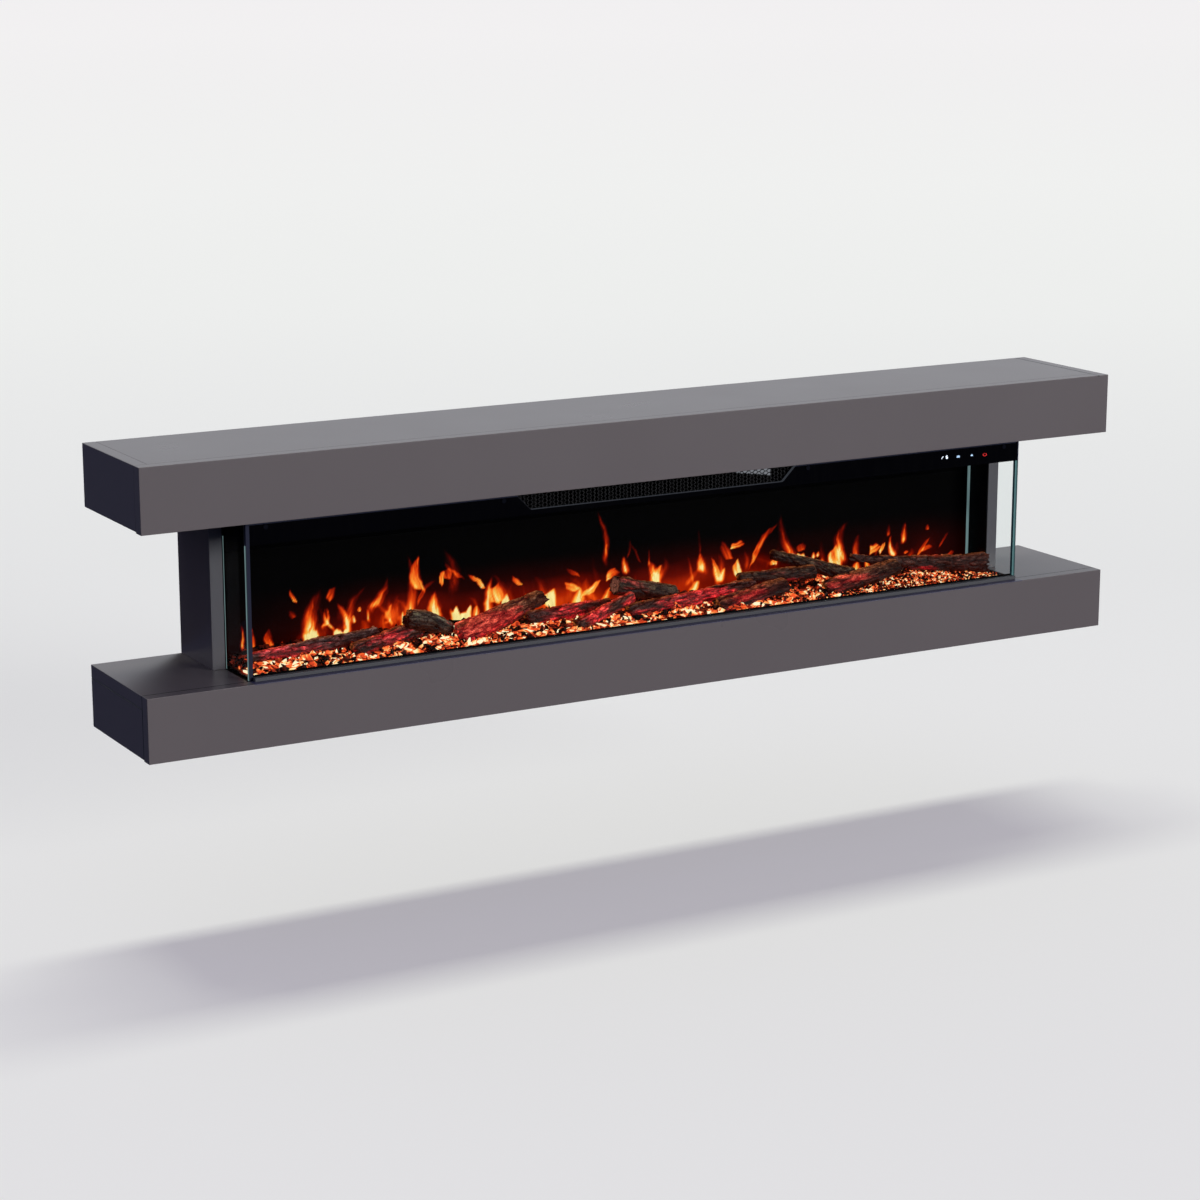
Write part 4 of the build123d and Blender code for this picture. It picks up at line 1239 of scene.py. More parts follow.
@dataclass(frozen=True)
class Flame:
    """One flame: (x, height) of its foot and tip in millimetres, its width, bend and heat."""

    kind: FlameKind
    foot: Span
    tip: Span
    width: float
    bend: float
    heat: float

    def heat_at(self, x: np.ndarray, z: np.ndarray, streaks: Noise) -> np.ndarray:
        """Heat of this flame over the picture.

        t is a point's share of the way from foot to tip, and s its distance from the spine, a parabola
        over that line. The heat falls off with s over the half width and at both ends, and streaks of noise
        run along it.

        Args:
            x: Places along the picture.
            z: Heights on the picture.
            streaks: Noise for the streaks and the ragged tops.

        Returns:
            Heat from 0 to about 1, shaped like x.
        """
        run = np.subtract(self.tip, self.foot).astype(float)
        length = float(np.hypot(*run))
        ahead = run / length
        over, above = x - self.foot[0], z - self.foot[1]
        t = (over * ahead[0] + above * ahead[1]) / length
        aside = above * ahead[0] - over * ahead[1]
        held = np.clip(t, 0.0, 1.0)
        s = aside - 4.0 * self.bend * length * held * (1.0 - held)
        wide, long = STREAK_SIZE
        grain = np.stack([aside / wide, t * length / long, np.full_like(x, self.foot[0])], -1)
        streak = 0.52 + 0.86 * streaks.layered(grain, 2)
        half = 0.5 * self.width
        if self.kind is TONGUE:
            half = half * 1.25 * (1.0 - held) ** 0.8 * (0.65 + 0.9 * held) + 0.3
            ends = smooth_step(-0.2, 0.15, t) * smooth_step(1.03, 0.85, t)
            body = 1.12 * np.clip(1.0 - np.abs(s) / (1.12 * half), 0.0, 1.0)
            fade = (1.08 - 0.6 * held) * (1.0 - 0.42 * smooth_step(*TONGUE_FADE, z))
        elif self.kind is SCRAP:
            half = half * (0.78 + 0.34 * np.sin(math.pi * held))
            slant = 0.16 * np.clip(s / half, -1.0, 1.0)
            ends = smooth_step(-0.02, 0.12, t - slant) * smooth_step(1.02, 0.9, t + slant)
            body = smooth_step(0.0, 0.5, 1.0 - np.abs(s) / half)
            fade = (1.1 - 0.45 * held) * (1.0 - 0.2 * smooth_step(*SCRAP_FADE, z))
        else:
            wide, long = RAGGED_SIZE
            top = 1.05 - 0.6 * streaks.smooth(np.stack([x / wide, z / long, np.full_like(x, 3.0)], -1))
            ends = smooth_step(-0.35, 0.05, t) * smooth_step(top + 0.12, top - 0.16, t)
            body = smooth_step(0.0, 0.4, 1.0 - np.abs(s) / half)
            fade = 1.08
        return self.heat * ends * body * fade * streak


@dataclass
class FlameScreen:
    """Black screen at the back of the fire, with the flame picture that it shows."""

    grid: float = 1.8
    bottom: float = 3.0
    top: float = 178.0
    film: float = 0.15
    relief: float = 0.2
    wisps: int = 64
    seed: int = 11
    gain: float = 1.1
    contrast: float = 1.3
    haze: float = 0.42
    haze_height: Span = (120.0, 8.0)
    haze_size: Span = (95.0, 60.0)
    haze_left: Span = (-740.0, -360.0)
    haze_right: Span = (740.0, 640.0)
    haze_thin: Span = (180.0, 420.0)
    sway_size: Span = (16.0, 20.0)
    sway_reach: Span = (7.0, 9.0)
    hottest: float = 0.985
    wisp_x: Span = (-600.0, 620.0)
    wisp_z: Span = (4.0, 48.0)
    wisp_lean: float = 0.4
    wisp_length: Span = (18.0, 56.0)
    wisp_width: Span = (6.0, 22.0)
    wisp_bend: float = 0.2
    wisp_heat: Span = (0.12, 0.32)
    acrylic: Coating = Coating(
        "smoked_acrylic", (0.0004, 0.0004, 0.0004), (0.0008, 0.0007, 0.0007), (0.3, 0.4), 1.03,
        0.002, 0.00001,
    )
    flames: tuple[Flame, ...] = tuple(Flame(*row) for row in (
        (SCRAP, (-606, 81), (-615, 103), 8, 0.0, 0.78),
        (SCRAP, (-608, 58), (-620, 68), 11, 0.0, 0.36),
        (SCRAP, (-649, 13), (-659, 38), 16, 0.1, 0.58),
        (TONGUE, (-631, 11), (-631, 20), 7, 0.0, 0.75),
        (TONGUE, (-700, 15), (-702, 57), 9, 0.0, 0.72),
        (TONGUE, (-681, 8), (-683, 50), 7, 0.0, 0.68),
        (TONGUE, (-579, 12), (-559, 99), 34, 0.12, 0.86),
        (BLAZE, (-579, 13), (-582, 38), 29, 0.0, 1.05),
        (SCRAP, (-550, 78), (-537, 98), 16, 0.0, 0.64),
        (TONGUE, (-557, 34), (-551, 68), 8, -0.2, 0.9),
        (TONGUE, (-540, 28), (-552, 68), 8, 0.15, 0.85),
        (TONGUE, (-513, 14), (-534, 74), 18, -0.12, 0.98),
        (BLAZE, (-526, 13), (-526, 28), 34, 0.0, 0.92),
        (TONGUE, (-510, 42), (-476, 92), 17, 0.2, 0.5),
        (TONGUE, (-470, 57), (-438, 107), 19, -0.1, 0.9),
        (SCRAP, (-492, 53), (-493, 61), 8, 0.0, 0.8),
        (TONGUE, (-501, 37), (-505, 51), 10, 0.0, 1.05),
        (TONGUE, (-476, 35), (-478, 57), 9, 0.0, 0.85),
        (TONGUE, (-432, 24), (-433, 64), 10, 0.2, 0.85),
        (TONGUE, (-409, 14), (-404, 140), 20, -0.1, 0.84),
        (TONGUE, (-410, 14), (-412, 48), 15, 0.0, 1.0),
        (SCRAP, (-379, 75), (-388, 130), 21, 0.1, 0.92),
        (SCRAP, (-385, 54), (-356, 89), 9, 0.1, 0.36),
        (TONGUE, (-349, 27), (-353, 73), 26, 0.1, 1.3),
        (TONGUE, (-319, 76), (-337, 140), 26, -0.15, 0.6),
        (SCRAP, (-329, 89), (-332, 105), 21, 0.0, 0.6),
        (SCRAP, (-343, 81), (-338, 104), 8, 0.0, 0.88),
        (SCRAP, (-301, 88), (-334, 121), 6, 0.1, 0.42),
        (SCRAP, (-261, 63), (-289, 88), 9, -0.1, 0.9),
        (BLAZE, (-304, 13), (-304, 40), 46, 0.0, 1.1),
        (TONGUE, (-276, 19), (-274, 40), 16, 0.0, 1.1),
        (TONGUE, (-250, 14), (-247, 86), 19, 0.05, 1.1),
        (SCRAP, (-237, 37), (-242, 67), 28, 0.0, 0.68),
        (SCRAP, (-228, 39), (-237, 70), 22, 0.0, 0.62),
        (BLAZE, (-219, 27), (-208, 47), 26, 0.0, 1.05),
        (SCRAP, (-189, 62), (-206, 81), 8, 0.0, 0.7),
        (BLAZE, (-182, 26), (-180, 38), 28, 0.0, 1.0),
        (TONGUE, (-178, 32), (-179, 49), 7, 0.0, 0.85),
        (SCRAP, (-130, 17), (-132, 49), 27, 0.1, 1.1),
        (SCRAP, (-77, 41), (-105, 55), 15, 0.0, 0.74),
        (TONGUE, (-81, 18), (-72, 45), 25, 0.0, 1.25),
        (SCRAP, (-72, 34), (-37, 58), 12, -0.1, 0.8),
        (SCRAP, (-77, 65), (-101, 82), 8, 0.0, 0.42),
        (SCRAP, (-22, 57), (2, 69), 18, 0.1, 0.72),
        (TONGUE, (-28, 15), (-11, 41), 17, 0.0, 1.05),
        (TONGUE, (-24, 90), (-40, 176), 13, -0.08, 1.0),
        (TONGUE, (19, 64), (11, 95), 18, 0.0, 1.3),
        (TONGUE, (20, 92), (27, 120), 6, 0.0, 0.5),
        (SCRAP, (48, 81), (25, 112), 4, 0.0, 0.32),
        (TONGUE, (72, 32), (59, 80), 23, -0.15, 1.15),
        (TONGUE, (80, 31), (91, 70), 25, 0.15, 1.15),
        (TONGUE, (62, 70), (63, 97), 5, 0.0, 0.6),
        (TONGUE, (112, 9), (112, 31), 11, 0.0, 1.0),
        (TONGUE, (147, 8), (165, 33), 21, 0.0, 1.2),
        (TONGUE, (171, 50), (166, 80), 20, 0.0, 1.15),
        (TONGUE, (167, 79), (164, 124), 6, 0.0, 0.45),
        (SCRAP, (210, 35), (190, 66), 9, 0.0, 0.64),
        (TONGUE, (207, 27), (194, 54), 16, 0.0, 0.98),
        (TONGUE, (209, 27), (220, 52), 16, 0.0, 1.08),
        (SCRAP, (249, 31), (241, 59), 17, 0.0, 1.08),
        (SCRAP, (230, 64), (211, 93), 18, 0.0, 0.42),
        (SCRAP, (230, 85), (256, 91), 12, 0.0, 0.8),
        (SCRAP, (272, 50), (323, 116), 12, 0.05, 0.68),
        (TONGUE, (364, 54), (335, 133), 23, 0.12, 0.82),
        (SCRAP, (380, 63), (376, 75), 23, 0.0, 0.48),
        (BLAZE, (379, 46), (379, 58), 32, 0.0, 1.0),
        (SCRAP, (324, 41), (320, 52), 18, 0.0, 0.82),
        (BLAZE, (352, 8), (350, 34), 26, 0.0, 0.78),
        (BLAZE, (392, 8), (394, 40), 36, 0.0, 0.86),
        (TONGUE, (430, 6), (426, 44), 24, 0.0, 0.9),
        (TONGUE, (406, 45), (405, 58), 11, 0.0, 1.05),
        (TONGUE, (415, 47), (415, 58), 11, 0.0, 1.05),
        (TONGUE, (471, 37), (479, 110), 28, 0.2, 0.9),
        (SCRAP, (458, 24), (447, 59), 30, 0.0, 1.08),
        (TONGUE, (499, 37), (505, 81), 19, 0.1, 0.68),
        (TONGUE, (496, 3), (500, 32), 27, 0.0, 1.25),
        (TONGUE, (526, 6), (519, 41), 18, 0.0, 0.95),
        (SCRAP, (528, 46), (551, 55), 18, 0.0, 0.8),
        (SCRAP, (553, 38), (560, 58), 8, 0.0, 0.9),
        (TONGUE, (569, 70), (570, 91), 10, 0.0, 0.68),
        (TONGUE, (584, 33), (575, 71), 17, 0.1, 0.98),
        (TONGUE, (604, 57), (606, 94), 17, 0.0, 1.2),
        (SCRAP, (657, 72), (654, 80), 8, 0.0, 0.52),
        (SCRAP, (635, 29), (659, 56), 9, 0.0, 0.52),
        (SCRAP, (643, 38), (667, 42), 10, 0.0, 0.48),
        (SCRAP, (611, 32), (609, 37), 12, 0.0, 0.52),
        (SCRAP, (702, 17), (718, 26), 11, 0.0, 0.5),
        (SCRAP, (685, 40), (703, 66), 5, 0.0, 0.36),
    ))
    colours: Stops = (
        (0.0, BLACK), (0.10, (0.018, 0.0004, 0.0)), (0.25, (0.13, 0.0032, 0.0003)),
        (0.40, (0.43, 0.018, 0.001)), (0.55, (0.87, 0.075, 0.005)), (0.70, (1.0, 0.23, 0.022)),
        (0.84, (1.0, 0.41, 0.048)), (0.94, (1.0, 0.63, 0.135)), (1.0, (1.0, 0.84, 0.34)),
    )

    def faint_wisps(self) -> list[Flame]:
        """Thin dim strokes scattered among the flames, most of them leaning upwards.

        Returns:
            The strokes.
        """
        draw = np.random.default_rng(self.seed)
        wisps = []
        for _ in range(self.wisps):
            x = draw.uniform(*self.wisp_x)
            z = draw.uniform(*self.wisp_z)
            lean = draw.normal(0.0, self.wisp_lean)
            length = draw.uniform(*self.wisp_length)
            tip = (x + length * math.sin(lean), z + length * math.cos(lean))
            bend = draw.uniform(-self.wisp_bend, self.wisp_bend)
            heat = draw.uniform(*self.wisp_heat)
            wisps.append(Flame(TONGUE, (x, z), tip, draw.uniform(*self.wisp_width), bend, heat))
        return wisps

    def heat_over(self, x: np.ndarray, z: np.ndarray) -> np.ndarray:
        """Heat of the whole picture.

        The places are first swayed by smooth noise. The flames are then laid over each other so that
        what each leaves dark is multiplied, a haze that falls off with height and towards both ends is
        added, and the sum is raised to a power.

        Args:
            x: Places along the picture.
            z: Heights on it.

        Returns:
            Heat, from 0 to about 1.
        """
        streaks = Noise(self.seed)
        sway = np.stack([x / self.sway_size[0], z / self.sway_size[1], np.zeros_like(x)], -1)
        over = x + self.sway_reach[0] * (streaks.layered(sway, 3) - 0.5)
        up = z + self.sway_reach[1] * (streaks.layered(sway + 40.0, 3) - 0.5)
        dark = np.ones_like(x)
        for flame in list(self.flames) + self.faint_wisps():
            dark *= 1.0 - np.clip(flame.heat_at(over, up, streaks), 0.0, self.hottest)
        cloud = np.stack([x / self.haze_size[0], z / self.haze_size[1], np.full_like(x, 9.0)], -1)
        broad = streaks.layered(cloud, 3)
        ends = 0.15 + 0.85 * smooth_step(*self.haze_left, x)
        ends = ends * (0.3 + 0.7 * smooth_step(*self.haze_right, x))
        ends = ends * (1.0 - 0.5 * smooth_step(*self.haze_thin, x))
        haze = self.haze * smooth_step(*self.haze_height, z) * (0.4 + 1.2 * broad) * ends
        return self.gain * (np.maximum(1.0 - dark, 0.0) + haze * dark) ** self.contrast

    def build(self) -> None:
        """Make the picture: a film on the screen whose front stands out a little where it is hot."""
        bed_low, bed_high = box_mm("ember_bed")
        screen_low = box_mm("flame_screen")[0]
        floor = bed_low[2]
        columns = int((bed_high[0] - bed_low[0]) / self.grid)
        rows = int((self.top - self.bottom) / self.grid)
        along = np.linspace(bed_low[0], bed_high[0], columns)
        x, z = np.meshgrid(along, np.linspace(self.bottom, self.top, rows))
        heat = self.heat_over(x, z)
        front = screen_low[1] - self.film - self.relief * np.clip(heat, 0.0, 1.0)
        points = np.stack([x, front, z + floor], -1)

        number = np.arange(rows * columns).reshape(rows, columns)
        rim = np.concatenate([number[0, :-1], number[:-1, -1], number[-1, :0:-1], number[:0:-1, 0]])
        back = points.reshape(-1, 3)[rim].copy()
        back[:, 1] = screen_low[1]
        count = len(rim)
        start = rows * columns
        turn = np.arange(count)
        after = np.roll(turn, -1)
        sides = np.stack([rim[turn], start + turn, start + after, rim[after]], -1)
        fans = np.stack([start + turn, np.full(count, start + count), start + after], -1)
        middle = back.mean(axis=0, keepdims=True)
        stops = np.array([place for place, _ in self.colours])
        tones = np.array([tone for _, tone in self.colours])
        flame = np.stack([np.interp(heat.ravel(), stops, tones[:, part]) for part in range(3)], -1)
        shell = Shell(
            np.concatenate([points.reshape(-1, 3), back, middle]),
            np.concatenate([grid_quads(rows, columns, False), sides]),
            fans,
            {"flame_tone": np.concatenate([flame, np.zeros((count + 1, 3))])},
        ).facing_out()
        make_piece("flame_picture", shell, FlameLight().build())

    def dress(self) -> None:
        """Finish the screen itself."""
        dress(("flame_screen",), self.acrylic.build())


@dataclass
class EmberBed:
    """Moulded ember bed under a loose layer of shards on the left and granules on the right.

    Sizes are in millimetres. A name that ends in shares gives a range, as parts of a chip's mean length or
    of its own length.
    """

    front_height: float = 4.0
    knee_height: float = 12.0
    knee_from_front: float = 58.0
    step: float = 3.0
    lumps: float = 2.2
    sides: int = 5
    shards: int = 1600
    end_slope: float = 70.0
    end_share: float = 0.06
    pocket_at: float = 395.0
    pocket_reach: float = 45.0
    granules: int = 3000
    shard_length: float = 21.0
    granule_length: float = 8.0
    change_from: float = 230.0
    change_to: float = 470.0
    seed: int = 23
    lump_size: float = 9.0
    lump_middle: float = 0.75
    thinnest: float = 1.0
    crust_heat: float = 0.42
    crust_pocket: float = 0.72
    crust_rear: float = 0.7
    dark_edge: float = 8.0
    chip_pocket: float = 0.6
    chip_rear: float = 0.85
    length_shares: Span = (0.6, 1.7)
    width_shares: Span = (0.24, 0.55)
    thickness_shares: Span = (0.13, 0.30)
    across_shape: Span = (0.9, 1.15)
    inset_share: float = 0.42
    corner_play: float = 0.32
    corner_reach: Span = (0.72, 1.12)
    lower_ring: Span = (0.5, 0.9)
    upper_ring: Span = (0.45, 0.9)
    tilt: float = 0.5
    roll: float = 0.65
    clear: float = 0.3
    headroom: float = 60.0
    cluster_size: Span = (34.0, 24.0)
    rear_from: Span = (0.5, 0.75)
    shard_gap: float = 6.0
    granule_gap: float = 4.0
    shard_lit: float = 0.60
    shard_rise: Span = (-450.0, -250.0)
    shard_fall: Span = (-50.0, 250.0)
    granule_lit: float = 0.46
    granule_fall: Span = (420.0, 720.0)

    def __post_init__(self) -> None:
        """Read the bed's place from the frame."""
        self.low, self.high = box_mm("ember_bed")
        self.noise = Noise(self.seed)

    def height(self, y: np.ndarray) -> np.ndarray:
        """Height of the bed's surface: straight from front to knee and from knee to rear.

        Args:
            y: Places across the bed.

        Returns:
            Heights in the object's frame.
        """
        knee = self.low[1] + self.knee_from_front
        places = (self.low[1], knee, self.high[1])
        levels = (self.front_height, self.knee_height, self.high[2] - self.low[2])
        return self.low[2] + np.interp(y, places, levels)

    def sloped(self, x: np.ndarray, y: np.ndarray) -> np.ndarray:
        """Height of the surface, let down by a smooth step towards both ends.

        Args:
            x: Places along the bed.
            y: Places across it.

        Returns:
            Heights in the object's frame.
        """
        inside = np.minimum(x - self.low[0], self.high[0] - x)
        share = self.end_share + (1.0 - self.end_share) * smooth_step(0.0, self.end_slope, inside)
        return self.low[2] + (self.height(y) - self.low[2]) * share

    def rightness(self, x: np.ndarray) -> np.ndarray:
        """0 over the shards, 1 over the granules."""
        return smooth_step(self.change_from, self.change_to, x)

    def rear(self, across: np.ndarray) -> np.ndarray:
        """How far a place across the bed counts as behind the logs, from 0 to 1."""
        return smooth_step(*self.rear_from, across)

    def pocket(self, x: np.ndarray) -> np.ndarray:
        """Glowing place behind the logs on the right: a bell curve along the bed."""
        return np.exp(-(((x - self.pocket_at) / self.pocket_reach) ** 2))

    def crust(self) -> Shell:
        """The bed: its section's outline, lumped by noise on top, carried along X.

        Returns:
            The closed shell with its heat paint.
        """
        rows = int((self.high[0] - self.low[0]) / self.step)
        columns = int((self.high[1] - self.low[1]) / self.step)
        along, across = (
            np.linspace(self.low[axis], self.high[axis], count) for axis, count in ((0, rows), (1, columns))
        )
        x, y = np.meshgrid(along, across, indexing="ij")
        cell = np.stack([x / self.lump_size, y / self.lump_size, np.zeros_like(x)], -1)
        lump = self.noise.layered(cell, 3)
        top = self.sloped(x, y) + self.lumps * (lump - self.lump_middle)
        upper = np.stack([x, y, np.maximum(top, self.low[2] + self.thinnest)], -1)
        lower = upper[:, [-1, 0]].copy()
        lower[..., 2] = self.low[2]
        rings = np.concatenate([upper, lower], axis=1)
        shell = capped_rings(rings)
        heat = self.crust_heat + 0.9 * (self.noise.layered(cell * 0.7 + 30.0, 3) - 0.5)
        behind = self.rear((y - self.low[1]) / (self.high[1] - self.low[1]))
        heat = heat + behind * (self.crust_pocket * self.pocket(x) - self.crust_rear * heat)
        edge = np.minimum(y - self.low[1], np.minimum(x - self.low[0], self.high[0] - x))
        heat = heat * smooth_step(0.0, self.dark_edge, edge)
        shell.paints["ember_heat"] = with_poles(np.concatenate([heat, np.zeros((rows, 2))], axis=1))
        return shell

    def chips(self, draw: np.random.Generator, x: np.ndarray, length: float, lit: np.ndarray) -> Shell:
        """Scatter of flat broken chips.

        Each is three uneven rings of a few sides between two poles, tilted, turned and laid on the bed.

        Args:
            draw: Random numbers.
            x: Place of each chip along the bed.
            length: Mean length of a chip.
            lit: Each chip's chance of glowing.

        Returns:
            All the chips as one shell, with their heat.
        """
        count, sides = len(x), self.sides
        long = length * draw.uniform(*self.length_shares, count)
        wide = long * draw.uniform(*self.width_shares, count)
        thick = length * draw.uniform(*self.thickness_shares, count)
        across = draw.beta(*self.across_shape, count)
        inset = self.inset_share * wide
        y = self.low[1] + inset + across * (self.high[1] - self.low[1] - 2.0 * inset)

        turn = np.linspace(0.0, 2.0 * math.pi, sides, endpoint=False)
        turn = turn + draw.uniform(-self.corner_play, self.corner_play, (count, sides))
        reach = draw.uniform(*self.corner_reach, (count, sides))
        lower = draw.uniform(*self.lower_ring, count)
        scale = np.stack([lower, np.ones(count), draw.uniform(*self.upper_ring, count)], -1)
        level = np.array((-0.5, 0.0, 0.5)) + draw.uniform(-0.12, 0.12, (count, 3))
        rings = np.stack(np.broadcast_arrays(
            0.5 * long[:, None, None] * scale[..., None] * (reach * np.cos(turn))[:, None, :],
            0.5 * wide[:, None, None] * scale[..., None] * (reach * np.sin(turn))[:, None, :],
            thick[:, None, None] * (level[..., None] + draw.uniform(-0.1, 0.1, (count, 3, sides))),
        ), -1)
        poles = np.zeros((count, 2, 3))
        poles[:, :, 2] = thick[:, None] * np.array((-0.55, 0.55))
        local = np.concatenate([rings.reshape(count, -1, 3), poles], axis=1)

        yaw = draw.uniform(0.0, math.pi, count)
        tilt = draw.normal(0.0, self.tilt, count)
        roll = draw.normal(0.0, self.roll, count)
        local = np.einsum("nij,npj->npi", turning(yaw, tilt, roll), local)
        lift = np.stack([x, y, self.sloped(x, y) + thick * draw.uniform(0.0, 1.0, count)], -1)
        points = local + lift[:, None, :]
        highest = self.high + (-self.clear, -self.clear, self.headroom)
        points = np.clip(points, self.low + self.clear, highest)

        patch = np.stack([x / self.cluster_size[0], y / self.cluster_size[1], np.zeros(count)], -1)
        cluster = self.noise.layered(patch, 2)
        glows = draw.uniform(0.0, 1.0, count) < lit + 0.9 * (cluster - 0.5)
        warm = np.where(glows, 0.50 + 0.34 * draw.beta(1.0, 1.3, count), draw.uniform(0.0, 0.24, count))
        warm = warm + self.rear(across) * (self.chip_pocket * self.pocket(x) - self.chip_rear * warm)
        lean = np.cos(turn + draw.uniform(0.0, 2.0 * math.pi, (count, 1)))
        lean = np.concatenate([np.tile(lean, 3), draw.uniform(-0.5, 0.5, (count, 2))], axis=1)
        heat = (0.24 * lean + draw.uniform(-0.07, 0.07, lean.shape)) * (0.1 + warm[:, None]) + warm[:, None]
        crest = np.where(glows, draw.uniform(0.0, 0.2, count), 0.06) * (1.0 - across)
        heat[:, sides:2 * sides] += crest[:, None]

        each = points.shape[1]
        shift = (np.arange(count) * each)[:, None, None]
        rim = np.arange(sides)
        after = np.roll(rim, -1)
        base_fans = np.concatenate([
            np.stack([after, rim, np.full(sides, 3 * sides)], -1),
            np.stack([2 * sides + rim, 2 * sides + after, np.full(sides, 3 * sides + 1)], -1),
        ])
        quads = (grid_quads(3, sides, True)[None] + shift).reshape(-1, 4)
        fans = (base_fans[None] + shift).reshape(-1, 3)
        return Shell(points.reshape(-1, 3), quads, fans, {"ember_heat": heat.ravel()}).facing_out()

    def build(self) -> None:
        """Make the bed, the shards and the granules."""
        resin = EmberResin().build()
        draw = np.random.default_rng(self.seed)
        make_piece("ember_crust", self.crust(), resin, ("ember_bed",))
        x = draw.uniform(self.low[0] + self.shard_gap, self.high[0] - self.shard_gap, 2 * self.shards)
        x = x[draw.uniform(0.0, 1.0, len(x)) > self.rightness(x)][: self.shards]
        lit = self.shard_lit + 0.10 * smooth_step(*self.shard_rise, x)
        lit = lit - 0.14 * smooth_step(*self.shard_fall, x)
        shards = self.chips(draw, x, self.shard_length, lit)
        make_piece("ember_shards", shards, resin, ("ember_chips",), False)
        x = draw.uniform(self.change_from, self.high[0] - self.granule_gap, 2 * self.granules)
        x = x[draw.uniform(0.0, 1.0, len(x)) < self.rightness(x)][: self.granules]
        lit = self.granule_lit - 0.04 * smooth_step(*self.granule_fall, x)
        granules = self.chips(draw, x, self.granule_length, lit)
        make_piece("ember_granules", granules, resin, (), False)


def turning(yaw: np.ndarray, tilt: np.ndarray, roll: np.ndarray) -> np.ndarray:
    """Turning matrices: a roll about X, then a tilt about Y, then a yaw about Z.

    Each is a turn about Z with its rows and columns moved round to leave its own axis alone.

    Args:
        yaw: Angles about Z.
        tilt: Angles about Y.
        roll: Angles about X.

    Returns:
        One three by three matrix for each set of angles.
    """
    zero, one = np.zeros_like(yaw), np.ones_like(yaw)
    turns = []
    for angle, place in ((roll, 0), (tilt, 1), (yaw, 2)):
        cosine, sine = np.cos(angle), np.sin(angle)
        flat = ((cosine, -sine, zero), (sine, cosine, zero), (zero, zero, one))
        order = [(axis - place - 1) % 3 for axis in range(3)]
        turns.append(np.stack([np.stack([flat[row][column] for column in order], -1) for row in order], -2))
    about_x, about_y, about_z = turns
    return about_z @ about_y @ about_x


@dataclass(frozen=True)
class Log:
    """One log: its node, its stations as (along, across, rise, radius), and how it is painted."""

    node: str
    stations: tuple[tuple[float, float, float, float], ...]
    bark: Colour
    moss: float
    glow: float
    glow_at: float
    glow_spread: float
    ragged: float
    split: bool = False
    ringed: bool = False


